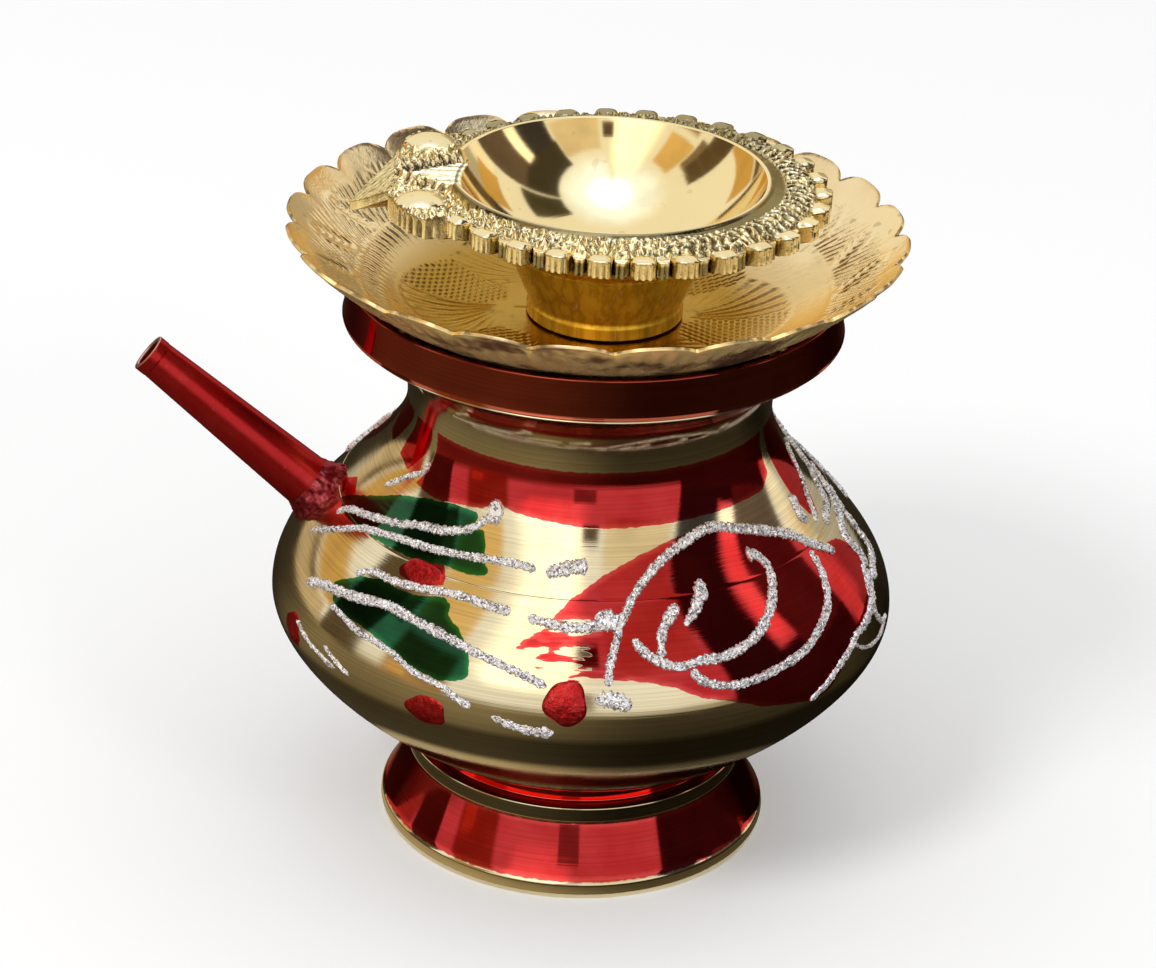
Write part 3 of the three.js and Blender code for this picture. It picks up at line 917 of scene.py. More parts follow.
plate_radius = 50.3
plate_floor_radius = 20.0
plate_knee_radius = 32.5
plate_depth = 15.6
scallops = 24
scallop_turn = radians(4)
scallop_inset = 1.9
scallop_dip = 1.3
scallop_band = 0.82
fan_count = 6
fan_turn = radians(-92 - 90)
fan_root_radius = 14.5
fan_reach = 17.5
leaf_band_start = 38.5
leaf_band_end = 47.5
plate_steps = 1200
plate_rows = 130

plate_sweep = bezier([(plate_floor_radius, 0), (plate_knee_radius, 0), (plate_radius, plate_depth)], 200)


def dish_height(radius):
    return np.interp(radius, plate_sweep[:, 0], plate_sweep[:, 1])


def ridge(distance, width):
    """A rounded ridge of height 1 along the line where the distance is 0."""
    return np.exp(-(distance / width) ** 2)


def fan_pattern(radius, angle):
    """Shell fans round the lamp's foot: ribs over one half of each fan and rows of dots over the other."""
    pitch = 2 * pi / fan_count
    cell = (angle - fan_turn + pitch / 2) % pitch - pitch / 2
    ahead = radius * np.cos(cell) - fan_root_radius
    aside = radius * np.sin(cell)
    reach = np.hypot(ahead, aside)
    spread = np.arctan2(aside, ahead)
    inside = smoothed(fan_reach - reach, 0, 0.6) * smoothed(reach, 1.5, 3.5)
    inside = inside * smoothed(pi / 2 - np.abs(spread), 0.0, 0.1)
    ribs = np.cos(spread * 34) * smoothed(spread, 0.02, 0.1)
    dots = np.sin(ahead * 2 * pi / 1.9) * np.sin(aside * 2 * pi / 1.5) * smoothed(-spread, 0.02, 0.1)
    border = ridge(reach - fan_reach, 0.35) * smoothed(pi / 2 - np.abs(spread), 0.0, 0.1)
    spine = ridge(aside, 0.3) * smoothed(reach, 1.0, 2.0) * smoothed(fan_reach - reach, 0, 1.0)
    return (ribs * 0.32 + dots * 0.55) * inside + border * 0.4 + spine * 0.4


def leaf_pattern(radius, angle):
    """A leaf and a spray of strokes in each scallop of the outer band."""
    pitch = 2 * pi / scallops
    cell = (angle - scallop_turn) % pitch - pitch / 2
    ahead = radius - (leaf_band_start + leaf_band_end) / 2
    aside = cell * radius
    slant = aside * 0.86 - ahead * 0.5
    along = aside * 0.5 + ahead * 0.86
    leaf = np.sqrt((slant / 1.9) ** 2 + (along / 4.3) ** 2)
    outline = ridge((leaf - 1) * 2.4, 0.42)
    veins = np.cos((along - np.abs(slant) * 1.1) * 2 * pi / 1.35) * smoothed(1 - leaf, 0.1, 0.3)
    spine = ridge(slant, 0.22) * smoothed(1 - leaf, 0.0, 0.2)
    strokes = np.cos((aside + ahead * 0.45) * 2 * pi / 1.3) * smoothed(leaf, 1.15, 1.35)
    band = smoothed(radius, leaf_band_start, leaf_band_start + 0.8) * smoothed(leaf_band_end - radius, 0, 1.2)
    combing = np.cos(angle * 132 + np.sin(radius * 0.9) * 1.5) * smoothed(-np.cos(angle), 0.1, 0.6)
    combing = combing * smoothed(radius, 33.5, 36) * smoothed(leaf_band_start + 0.6 - radius, 0, 1)
    edge = ridge(radius - leaf_band_start, 0.3) * 0.6
    return (outline * 0.8 + veins * 0.5 + spine * 0.5 + strokes * 0.35) * band + edge * 0.7 + combing * 0.35


def plate_face(rows, side):
    """One face of the plate as rings from the middle to the rim: side 0 on top and -1 beneath."""
    angle = np.arange(plate_steps) * 2 * pi / plate_steps
    radius = np.linspace(0, 1, rows)[:, None] ** 0.85 * plate_radius + 0 * angle[None, :]
    angle = angle[None, :] + 0 * radius
    rim_share = np.clip((radius / plate_radius - scallop_band) / (1 - scallop_band), 0, 1)
    wave = np.abs(np.sin((angle - scallop_turn) * scallops / 2))
    notch = (1 - wave) ** 2 * rim_share
    height = dish_height(radius) - scallop_dip * notch + 0.35 * wave * rim_share ** 2
    pattern = fan_pattern(radius, angle) + leaf_pattern(radius, angle)
    pressing = np.cos(angle * 108) * smoothed(radius, 41, 43.5) * smoothed(plate_radius - radius, 0.2, 1.5)
    relief = pattern * 0.25 if side == 0 else pattern * 0.14 + pressing * 0.12
    height = height + relief + side * plate_wall
    spread = radius - scallop_inset * notch
    spread = np.where(side == 0, spread - 0.12 * (rim_share > 0.97), spread)
    points = np.stack((spread * np.cos(angle), spread * np.sin(angle), height + plate_floor), axis=-1)
    return points, pattern, radius


top_points, top_pattern, top_radius = plate_face(plate_rows, 0)
under_points, under_pattern, under_radius = plate_face(plate_rows // 2, -1)
rim_angle = np.arange(plate_steps) * 2 * pi / plate_steps
rim_middle = (top_points[-1] + under_points[-1]) / 2
rim_middle[:, :2] += np.stack((np.cos(rim_angle), np.sin(rim_angle)), axis=-1) * 0.3
plate_points = np.concatenate((top_points, rim_middle[None], under_points[::-1])).reshape(-1, 3)
plate_faces = ring_faces(plate_rows + 1 + plate_rows // 2, plate_steps, closed=False)
plate_r = np.concatenate((top_radius, top_radius[-1:], under_radius[::-1])).ravel()
plate_pattern = np.concatenate((top_pattern, 0 * top_pattern[-1:], under_pattern[::-1])).ravel()
plate_under = np.repeat((0.0, 1.0), (plate_rows * plate_steps, (plate_rows // 2 + 1) * plate_steps))
plate_angle = np.arctan2(plate_points[:, 1], plate_points[:, 0])
# Darker amber round and under the lamp, reaching further on the side of its lip: painted shade of the lamp,
# on the top face only.
plate_lamp_shade_share = 0.95 * (1 - smoothed(plate_r + 3.0 * np.cos(plate_angle), 25, 39))
mesh_piece(
    "scalloped_plate", stood_at(plate_points, pot_x), plate_faces, plate_finish, "plate", "plate_brass",
    "cover_plate", crease=60, values=(
        ("grime_and_shade", smoothed(-plate_pattern, 0.1, 0.8)),
        ("amber", plate_lamp_shade_share * (1 - plate_under)),
        ("under", plate_under),
    ),
)

# Lamp: a polished bowl in a cast flange with teeth, a wick lip with two ears, and a drooping nose

bowl_radius = 25.2
bowl_depth = 15.0
bowl_wall = 2.0
flange_radius = 32.2
flange_aside = 2.2
flange_drop = 1.6
tooth_count = 30
tooth_width = 4.2
tooth_reach = 1.4
tooth_height = 2.8
small_tooth_width = 2.2
small_tooth_reach = -0.5
tooth_gap = 1.3
lip_tooth_free = radians(37)
lip_length = 34.5
lip_sink = 1.9
ear_centre = (29.8, 13.1)
ear_reach = (4.9, 5.0)
bank_width = 0.9
nose_half_width = 8.8
nose_droop = radians(38)
channel_half_width = 7.3
channel_start = 24.0
channel_tip = 35.0
channel_depth = 2.1
chamfer_inset = 1.15
chamfer_radius = 25.9
lip_edge_depth = 3.4
nose_edge_depth = 1.5
nose_edge_half_width = 7.6
edge_groove_pitch = 1.05
lamp_steps = 1440

ball_radius = (bowl_radius ** 2 + bowl_depth ** 2) / (2 * bowl_depth)
ball_centre = lamp_top - bowl_depth + ball_radius


def bowl_height(radius, ball):
    return ball_centre - np.sqrt(np.maximum(ball ** 2 - radius ** 2, 0))


def from_flange(radius, angle):
    """Radius and angle about the flange's own centre, which stands a little behind the bowl's."""
    x = radius * np.cos(angle) - flange_aside
    y = radius * np.sin(angle)
    return np.hypot(x, y), np.arctan2(y, x)


def to_flange(reach, angle):
    """Radius from the bowl's axis to a circle about the flange's centre."""
    return flange_aside * np.cos(angle) + np.sqrt(reach ** 2 - (flange_aside * np.sin(angle)) ** 2)


def tooth_shape(angle):
    """Reach of the big and the small teeth at an angle about the flange, each from 0 to 1."""
    pitch = 2 * pi / tooth_count
    big = ((angle + pitch / 2) % pitch - pitch / 2) * flange_radius
    small = (angle % pitch - pitch / 2) * flange_radius
    big_share = np.clip(1 - (np.abs(big) / (tooth_width / 2)) ** 4, 0, 1)
    small_share = np.clip(1 - (np.abs(small) / (small_tooth_width / 2)) ** 4, 0, 1)
    return np.sqrt(big_share), np.sqrt(small_share)


def lip_edge(angle):
    """Radius of the ears' and the nose's outline about the bowl's axis, over the lip."""
    turn = np.degrees(np.abs(pi - np.abs(angle)))
    marks = (0, 3, 7, 12.4, 13.4, 18, 24, 29, 33, 35.2, 37.5)
    reach = (42.0, 40.6, 38.3, 35.9, 36.4, 36.4, 36.8, 36.0, 34.0, 31.6, 30.4)
    return np.interp(turn, marks, reach)


def lamp_edge(angle):
    """Radius of the lamp's outer edge about the bowl's axis, and where it is lip."""
    _, flange_angle = from_flange(flange_radius, angle)
    big, small = tooth_shape(flange_angle)
    reach = flange_radius - tooth_gap + (tooth_reach + tooth_gap) * big
    reach = reach + (small_tooth_reach + tooth_gap) * small * (big <= 0)
    lip = np.abs(pi - np.abs(angle)) < lip_tooth_free
    return np.where(lip, lip_edge(angle), to_flange(reach, angle)), lip


def channel_width(x):
    """Half width of the wick channel, which narrows to its tip."""
    return channel_half_width * np.clip((channel_tip + x) / (channel_tip - channel_start), 0, 1.1)


def lip_form(x, side):
    """Height of the lip: a domed ear on each side, beaded banks along the channel and a drooping nose."""
    from_ear = ((x + ear_centre[0]) / ear_reach[0]) ** 2 + ((side - ear_centre[1]) / ear_reach[1]) ** 2
    ear = np.clip(1 - from_ear, 0, 1) ** 0.8
    beside = side - channel_width(x) - bank_width
    beads = 0.85 + 0.15 * np.cos(x * 2 * pi / 1.4)
    bank = ridge(beside, bank_width * 0.8) * beads * smoothed(-x, 21, 24)
    height = lamp_top - lip_sink + np.maximum((lip_sink + ear_proud - 0.05) * ear, (lip_sink - 0.4) * bank)
    nose = lamp_top - 1.15 - (-x - lip_length) * sin(nose_droop) / cos(nose_droop)
    on_nose = smoothed(-x, lip_length - 0.4, lip_length + 0.6) * smoothed(nose_half_width - side, -0.6, 0.2)
    return height * (1 - on_nose) + np.minimum(nose, height + 1) * on_nose, ear


def lamp_face_height(radius, angle):
    """Height of the cast face between the bowl's rim and its edge, and where it is lip, channel or ear."""
    x, y = radius * np.cos(angle), radius * np.sin(angle)
    reach, flange_angle = from_flange(radius, angle)
    big, small = tooth_shape(flange_angle)
    height = lamp_top - 0.75 - (flange_drop - 0.75) * smoothed(reach, 27.4, 31.8)
    pad = smoothed(reach, 30.6, 31.2)
    height = height + pad * big ** 3 * (0.1 + 0.45 * ridge(reach - 32.0, 1.1)) - pad * (1 - big) * 0.55
    lip = smoothed(lip_tooth_free - np.abs(pi - np.abs(angle)), 0, 0.03)
    side = np.abs(y)
    lip_height, ear = lip_form(x, side)
    height = height * (1 - lip) + lip_height * lip
    channel = smoothed(channel_width(x) - side, -0.25, 0.25) * (-x > 20)
    floor = lamp_top - channel_depth + 0.09 * np.sin(y * 2 * pi / 0.9) + 0.05 * np.sin(y * 2 * pi / 0.37)
    return height * (1 - channel) + np.minimum(height, floor) * channel, lip, channel, ear * lip


def cast_texture(radius, angle, height):
    """Pebbles of the cast flange, from 0 in their seams up, and the feather ribs at its wide side."""
    reach, flange_angle = from_flange(radius, angle)
    points = np.stack((radius * np.cos(angle), radius * np.sin(angle), height), axis=-1).reshape(-1, 3)
    lumps = np.abs(pebbles(points, 1.0, 11.0)).reshape(radius.shape)
    feather = np.abs(np.cos(flange_angle * 49 + np.sin(reach * 1.3) * 0.7 + lumps * 1.5))
    return lumps, feather


lamp_angle = (np.arange(lamp_steps) + 0.5) * 2 * pi / lamp_steps
# The far side of the lamp is painted darker: painted shade.
far_side_shade_level = 0.75
far_side_shade = far_side_shade_level * smoothed(np.sin(lamp_angle), 0.3, 0.75)
rows = []
grime_and_shade_rows = []


def add_row(radius, height, grime_and_shade=0.0):
    spread = radius + 0 * lamp_angle
    level = height + 0 * lamp_angle
    rows.append(np.stack((spread * np.cos(lamp_angle), spread * np.sin(lamp_angle), level), axis=-1))
    grime_and_shade_rows.append(grime_and_shade + 0 * lamp_angle)


edge_radius, edge_lip = lamp_edge(lamp_angle)
channel_mouth = (np.abs(bowl_radius * np.sin(lamp_angle)) < channel_half_width) & (np.cos(lamp_angle) < 0)
rim_radius = np.where(channel_mouth, channel_start, bowl_radius)
for slant in np.linspace(0, 1, 44):
    reach = rim_radius * sin(slant * pi / 2)
    add_row(reach, bowl_height(reach, ball_radius))
rim_round = ((0.12, 0.04), (0.4, 0.12), (0.7, 0.08), (0.9, -0.06), (1.0, -0.25))
# The outer part of the rim's rounding is painted dark: painted shade in the dark line round the bowl's lip.
for outward, rise in rim_round:
    radius = rim_radius + outward
    face_height, _, channel, _ = lamp_face_height(radius, lamp_angle)
    add_row(radius, (lamp_top + rise) * (1 - channel) + face_height * channel, 0.9 * (outward > 0.6))
chamfer_start = rim_radius + chamfer_inset
chamfer_end = np.maximum(chamfer_start + 0.05, to_flange(chamfer_radius, lamp_angle))
face_rows = 48
for step in np.linspace(0, 1, face_rows):
    radius = chamfer_start + (edge_radius - 0.12 - chamfer_start) * step
    height, lip, channel, ear = lamp_face_height(radius, lamp_angle)
    lumps, feather = cast_texture(radius[None, :], lamp_angle[None, :], height[None, :])
    reach, _ = from_flange(radius, lamp_angle)
    chamfer = smoothed(chamfer_end + 0.2 - radius, 0, 0.35) * (1 - lip)
    cast = (1 - chamfer) * (1 - channel) * (1 - smoothed(reach, 30.5, 31.1) * (1 - lip))
    past_nose = smoothed(-radius * np.cos(lamp_angle), 34.6, 35.4)
    cast = cast * (1 - smoothed(ear, 0.3, 0.6)) * (1 - 0.75 * past_nose)
    right = smoothed(np.cos(lamp_angle), 0.0, 0.6)
    pattern = lumps[0] * (1 - 0.5 * right) * 1.5 + feather[0] * 0.42 * right
    sloped = lamp_top - 0.35 - (radius - chamfer_start) * 0.3
    height = height * (1 - chamfer) + sloped * chamfer + (pattern - 0.2) * cast
    # Grime in the seams between the pebbles. On the right side more of the face is painted dark as painted
    # shade. The chamfer ring is also painted dark as painted shade.
    seam_grime_and_shade = smoothed(0.22 + 0.34 * right - pattern, 0, 0.2) * cast
    add_row(radius, height, np.maximum(np.maximum(seam_grime_and_shade, 0.95 * chamfer), far_side_shade))

edge_height, _, _, _ = lamp_face_height(edge_radius, lamp_angle)
edge_depth = np.where(edge_lip, lip_edge_depth, tooth_height)
nose_here = edge_lip & (np.abs(edge_radius * np.sin(lamp_angle)) < nose_edge_half_width)
edge_depth = np.where(nose_here, nose_edge_depth, edge_depth)
_, edge_flange_angle = from_flange(edge_radius, lamp_angle)
grooves = np.abs(np.cos(edge_flange_angle * flange_radius * pi / edge_groove_pitch)) ** 0.6
grooves = np.where(nose_here, 1.0, grooves)
edge_round = ((0.03, 0.05), (0.12, 0.12), (0.3, 0.36), (0.55, 0.42), (0.8, 0.36), (0.95, 0.3), (1.0, 0.5))
rib_depth = np.where(edge_lip, 1.7, 1.0)
big_here, _ = tooth_shape(edge_flange_angle)
between_teeth = np.where(edge_lip, 0, 1 - big_here)
for share, inset in edge_round:
    radius = edge_radius - inset * rib_depth * (1 - grooves)
    # The grooves of the edge are darker, and the gaps between the teeth are painted dark: painted shadow.
    seam_grime_and_shade = np.maximum(0.45 * (1 - grooves) * (inset > 0.1), 0.9 * between_teeth * (share > 0.2))
    seam_grime_and_shade = np.maximum(seam_grime_and_shade, far_side_shade)
    add_row(radius, edge_height - edge_depth * share, seam_grime_and_shade)
under_height = edge_height - edge_depth
inner_under = 24.0
# The underside of the flange is painted darker: painted shade.
for step in (0.25, 0.6, 1.0):
    radius = edge_radius + (inner_under - edge_radius) * step
    base = bowl_height(np.full(lamp_steps, inner_under), ball_radius + bowl_wall)
    add_row(radius, under_height * (1 - step) + base * step, 0.4)
for slant in np.linspace(1, 0, 20)[1:]:
    reach = inner_under * slant
    add_row(reach, bowl_height(reach, ball_radius + bowl_wall))
lamp_points = np.concatenate(rows)
lamp_faces = ring_faces(len(rows), lamp_steps, closed=False)
lamp = mesh_piece(
    "oil_lamp", stood_at(lamp_points, lamp_x), lamp_faces, lamp_finish, "lamp", "lamp_brass",
    "lamp_bowl", crease=50, values=(("grime_and_shade", np.concatenate(grime_and_shade_rows)),),
)
lamp.data.materials.append(bowl_finish)
inside_radius = bowl_radius + 0.8
for face in lamp.data.polygons:
    centre = face.center
    reach = sqrt((centre.x / MM - lamp_x) ** 2 + (centre.y / MM) ** 2)
    if reach < inside_radius and centre.z / MM > float(bowl_height(reach, ball_radius)) - 0.6:
        face.material_index = 1

# Pedestal under the bowl: a foot band and a flaring cup

lamp_foot_radius = 12.8
lamp_foot_band = 2.4
lamp_stem_radius = 12.5
lamp_cup_radius = 16.2
lamp_foot_wall = 1.6
cup_seat = 0.02
band_top = lamp_floor + lamp_foot_band
inner_cup = lamp_cup_radius - lamp_foot_wall
cup_side = bezier([
    (lamp_stem_radius, band_top + gap),
    (lamp_stem_radius + 1.6, band_top + 3),
    (lamp_cup_radius, float(bowl_height(lamp_cup_radius, ball_radius + bowl_wall)) - cup_seat),
], 16)
pedestal_outline = [
    (lamp_foot_radius, lamp_floor),
    (lamp_foot_radius, band_top - 0.5),
    (lamp_foot_radius - 0.25, band_top),
    *cup_side,
    (inner_cup, float(bowl_height(inner_cup, ball_radius + bowl_wall)) - cup_seat),
    (lamp_stem_radius - lamp_foot_wall, band_top),
    (lamp_foot_radius - lamp_foot_wall, lamp_floor),
]
pedestal_points, pedestal_faces = turned(eased(pedestal_outline, 0.2), 256)
mesh_piece(
    "pedestal", stood_at(pedestal_points, lamp_x), pedestal_faces, pedestal_finish, "lamp", "pedestal_brass",
    "lamp_pedestal",
)

# Glitter: raised lines of silver glue, as (degrees from the front, height), with a width at each end

glitter_lines = [
    (1.2, 1.6, [(-84, 64.2), (-78.7, 66.4), (-77.4, 68), (-72.9, 70.2), (-74, 73.1), (-71.5, 75.6)]),
    (1.2, 1.5, [(-65.8, 66.1), (-61.9, 67.8), (-58.9, 69.2), (-54.1, 70.8), (-53.9, 72.4)]),
    (1.2, 1.7, [
        (-74, 59.2), (-70.8, 60.8), (-62.7, 62.1), (-57.4, 62.9), (-50.8, 63.8), (-44.9, 64.8),
        (-38.8, 65.3), (-34.6, 65.9), (-30.8, 66.7), (-28.7, 67.6), (-27.4, 68.6),
    ]),
    (4.0, 5.6, [(-27.2, 68.2), (-25.4, 69.6), (-23.9, 70.8)]),
    (1.2, 1.4, [
        (-76.6, 55.3), (-63.2, 60), (-58.7, 61), (-49.1, 62.2), (-39.9, 62.8), (-30.2, 63.4),
        (-19.9, 63.9), (-14.9, 63.9), (-11, 63.6),
    ]),
    (2.0, 2.8, [(-8.5, 63.4), (-5.1, 63.9), (-1.6, 64.4), (1.5, 64.5)]),
    (1.2, 1.5, [
        (-53.2, 56), (-49.5, 57.4), (-43.3, 57.6), (-34.2, 58.3), (-27.1, 58.8), (-20, 58.5),
        (-14.6, 58.2),
    ]),
    (1.5, 2.0, [(-10.8, 57.9), (-6.3, 57.5), (-2.8, 57.2), (1.2, 57.3), (5.3, 57.7)]),
    (3.0, 3.4, [(3.2, 58.4), (6.0, 58.2), (8.4, 57.6)]),
    (1.8, 1.5, [
        (-65.4, 50.8), (-60.4, 52.2), (-55.2, 52.9), (-49.1, 53.7), (-42.2, 54.6), (-38.1, 54.6),
        (-32.9, 54.2), (-28, 53.8), (-22.1, 53), (-15.6, 51.9), (-9.6, 50.7), (-5.3, 49.5),
    ]),
    (1.1, 1.5, [
        (-54.4, 50.9), (-50.6, 50.6), (-44.8, 49.8), (-40.4, 49.7), (-35.8, 49.2), (-30.6, 47.8),
        (-24.5, 46.9), (-21.9, 45.9), (-18.6, 44.8),
    ]),
    (1.3, 2.4, [(-14.6, 44), (-13.1, 43.6), (-10.9, 43), (-8.6, 42.6), (-5.9, 42.4), (-3.5, 42.6)]),
    (1.6, 1.9, [
        (5.8, 49.9), (6, 52.2), (6.8, 54.3), (7.8, 56.2), (8.7, 57.9), (10.2, 59.4), (12, 61.1),
        (14.9, 62.8), (18.4, 64.4), (22.5, 65.7), (27.3, 66.7), (32.6, 67.6), (37.6, 67.7),
        (43.5, 66.7), (49.3, 65.6), (55.1, 64.3), (60.5, 62.7), (64, 60.9), (70.8, 57.9),
    ]),
    (3.2, 3.6, [(3.4, 48.0), (6.5, 48.1), (9.8, 46.8)]),
    (1.8, 1.7, [
        (62.6, 60), (62.3, 58.2), (61, 56.3), (58.4, 53.9), (55.3, 52.5), (51.2, 51.1), (47.8, 50),
        (43.8, 49.3), (39.3, 48.8), (34.4, 48.3), (30.1, 48.2), (26.1, 48.8), (23.3, 49.8),
        (21.6, 51.4),
    ]),
    (1.7, 2.0, [
        (10.8, 55.9), (13.1, 54.1), (15.9, 52.8), (19.3, 52), (23.9, 52.4), (28.1, 52.3), (32.3, 52.8),
        (36.9, 53.9), (41, 55.6), (44.1, 57.4), (46.1, 59.1), (47.4, 60.9), (46.5, 62.4), (44.6, 63.3),
    ]),
    (2.4, 2.8, [(44.8, 63), (43.2, 63.4)]),
    (2.2, 1.8, [(21.5, 59.4), (19.1, 58.2), (17.2, 56.7), (16.4, 54.9), (16.2, 53.4)]),
    (3.2, 1.2, [(28.3, 62), (27.6, 60.6), (26.4, 59.6), (24.7, 58.4), (22, 57)]),
    (2.0, 1.4, [
        (78, 52.5), (73.2, 49.3), (67, 47.8), (62.5, 47.4), (59.7, 46.4), (56.6, 45.5), (53.5, 44.4),
        (51, 43.2), (48.6, 42.5), (46.3, 41.6),
    ]),
    (1.1, 1.5, [
        (95, 69.6), (88.8, 68.8), (85.1, 67), (82.3, 65.8), (77.7, 64.3), (75.2, 62.9), (72.8, 61.7),
    ]),
    (1.2, 1.6, [
        (101, 67.4), (96, 64.5), (91.3, 63.5), (87.4, 62.3), (83.7, 61.3), (78.6, 61), (76.3, 60.3),
    ]),
    (1.3, 2.4, [
        (100.3, 63.5), (94.1, 61.3), (90.3, 59.9), (83.6, 58.7), (79.4, 57.2), (80, 54.5), (78.5, 52.7),
    ]),
    (1.3, 1.9, [(95.8, 60.7), (90.9, 58.8), (88.5, 55.7), (87.6, 52.8), (82.9, 51.7), (78.6, 50.7)]),
    (1.6, 1.1, [(77.5, 53.4), (73.6, 50.6), (72.4, 48.2), (73.6, 45.6), (76.5, 44.2)]),
    (0.8, 0.9, [(60, 47.6), (62.5, 45.3), (67, 43.7), (73, 43.2), (78, 44.8)]),
    (2.0, 2.8, [(71, 66.3), (69.4, 64.8), (68.2, 62.6)]),
    (0.9, 1.0, [(-63, 45.3), (-57.6, 43.8), (-52.9, 43.1), (-48.6, 42.5)]),
    (0.9, 1.0, [(-52.2, 45.1), (-48.5, 43.9), (-44.5, 42.8)]),
]
glitter_step = 0.3
glitter_rise = 0.28
glitter_width = 0.88
glitter_height_width = 1.1
glitter_seed = 5
spout_clear_turn = 13.0
spout_clear_low, spout_clear_high = 50.0, 66.0
glitter_rng = np.random.default_rng(glitter_seed)


def smooth_line(points, step):
    """A curve through given points, in even steps."""
    points = np.array(points, float)
    ends = np.concatenate((2 * points[:1] - points[1:2], points, 2 * points[-1:] - points[-2:-1]))
    shares = np.linspace(0, 1, 12, endpoint=False)[:, None]
    pieces = []
    for a, b, c, d in zip(ends, ends[1:], ends[2:], ends[3:]):
        pieces.append(0.5 * (2 * b + (c - a) * shares + (2 * a - 5 * b + 4 * c - d) * shares ** 2
                             + (3 * b - a - 3 * c + d) * shares ** 3))
    path = np.concatenate(pieces + [points[-1:]])
    strides = np.linalg.norm(np.diff(path * (degree_width, glitter_height_width), axis=0), axis=1)
    length = np.concatenate(([0], np.cumsum(strides)))
    even = np.linspace(0, length[-1], max(3, int(length[-1] / step) + 1))
    return np.stack([np.interp(even, length, path[:, i]) for i in (0, 1)], axis=-1), even


def glitter_strand(first_width, last_width, points):
    """Points and faces of one closed strand of granular glue along the belly."""
    path, length = smooth_line(points, glitter_step)
    steps = len(path)
    total = length[-1]
    width = (first_width + (last_width - first_width) * length / total) * glitter_width
    end_distance = np.minimum(length, total - length)
    width = width * np.sqrt(np.clip(1 - (1 - np.clip(end_distance / (width / 2), 0, 1)) ** 2, 0.06, 1))
    width = width * (1 + 0.16 * glitter_rng.standard_normal(steps).clip(-1.5, 1.5))
    way = np.gradient(path * (degree_width, glitter_height_width), axis=0)
    way /= np.linalg.norm(way, axis=1)[:, None]
    across = 9
    share = np.linspace(-1, 1, across)
    rows_made = []
    for offset in share:
        aside = offset * width / 2 + glitter_rng.uniform(-0.08, 0.08, steps) * (abs(offset) < 1)
        turn = path[:, 0] - way[:, 1] * aside / degree_width
        height = path[:, 1] + way[:, 0] * aside / glitter_height_width
        dome = sqrt(max(0, 1 - offset * offset))
        proud = glitter_rise * width * dome * 0.85 + glitter_rng.uniform(-0.1, 0.14, steps) * (dome > 0)
        proud = np.where(dome > 0, np.maximum(proud, 0.05), -0.1)
        place, outward = on_pot(turn, height)
        rows_made.append(place + outward * np.minimum(proud, 0.62)[:, None])
    grid = np.stack(rows_made, axis=1).reshape(-1, 3)
    faces = []
    for i in range(steps - 1):
        for j in range(across - 1):
            a = i * across + j
            corners = (a, a + 1, a + across + 1, a + across)
            if (i + j) % 2:
                faces += [(corners[0], corners[1], corners[2]), (corners[0], corners[2], corners[3])]
            else:
                faces += [(corners[0], corners[1], corners[3]), (corners[1], corners[2], corners[3])]
        a = i * across
        faces.append((a, a + across, a + 2 * across - 1, a + across - 1))
    faces.append(tuple(range(across)))
    faces.append(tuple(range((steps - 1) * across, steps * across))[::-1])
    return grid, faces


def clear_of_spout(points):
    return not any(
        abs((turn + 90 + 180) % 360 - 180) < spout_clear_turn and spout_clear_low < height < spout_clear_high
        for turn, height in points
    )


glitter_points = []
glitter_faces = []
for far_side in (0, 180):
    for first_width, last_width, line in glitter_lines:
        moved = [(turn + far_side, height) for turn, height in line]
        if not clear_of_spout(moved):
            continue
        grid, faces = glitter_strand(first_width, last_width, moved)
        start = sum(len(points) for points in glitter_points)
        glitter_points.append(grid)
        glitter_faces += [tuple(corner + start for corner in face) for face in faces]
mesh_piece(
    "glitter_lines", stood_at(np.concatenate(glitter_points), pot_x), glitter_faces, glitter_finish, "pot",
    "pot_brass", crease=None,
)

# Lacquer drops on the belly, as (degrees from the front, height, half width, half height, rise)

lacquer_drops = [
    (-1.7, 47.2, 3.2, 3.5, 0.55),
    (-27, 42.3, 3.4, 2.6, 0.3),
    (-37.4, 59.9, 4.6, 1.5, 0.2),
    (-64, 43.4, 2.2, 2.8, 0.3),
]
drop_rings = 10
drop_steps = 40
drop_points = []
drop_faces = []
for far_side in (0, 180):
    for turn, height, half_width, half_height, rise in lacquer_drops:
        start = len(drop_points) * (drop_rings + 1) * drop_steps
        angle = np.arange(drop_steps) * 2 * pi / drop_steps
        wobble = 1 + 0.06 * np.sin(angle * 3 + turn) + 0.04 * np.sin(angle * 5 + height)
        grid = []
        for ring in range(drop_rings + 1):
            share = ring / drop_rings
            turns = turn + far_side + half_width * share * wobble * np.cos(angle) / degree_width
            heights = height + half_height * share * wobble * np.sin(angle)
            proud = rise * sqrt(max(0, 1 - share ** 2)) - (0.1 if ring == drop_rings else 0)
            grid.append(on_pot(turns, heights, proud)[0])
        drop_points.append(np.concatenate(grid))
        rings = ring_faces(drop_rings + 1, drop_steps, closed=False)
        drop_faces += [tuple(corner + start for corner in face) for face in rings]
        outermost = start + drop_rings * drop_steps
        drop_faces.append(tuple(range(outermost, outermost + drop_steps)))
mesh_piece(
    "lacquer_drops", stood_at(np.concatenate(drop_points), pot_x), drop_faces, drop_finish, "pot",
    "pot_brass",
)

# Studio: a pale floor and a white surround, with panels and a dark table that only metal sees

sky_level = 0.80
floor_radius = 3.5
card_distance = 1.5
card_centre = Vector((0.012, 0, 0.08))


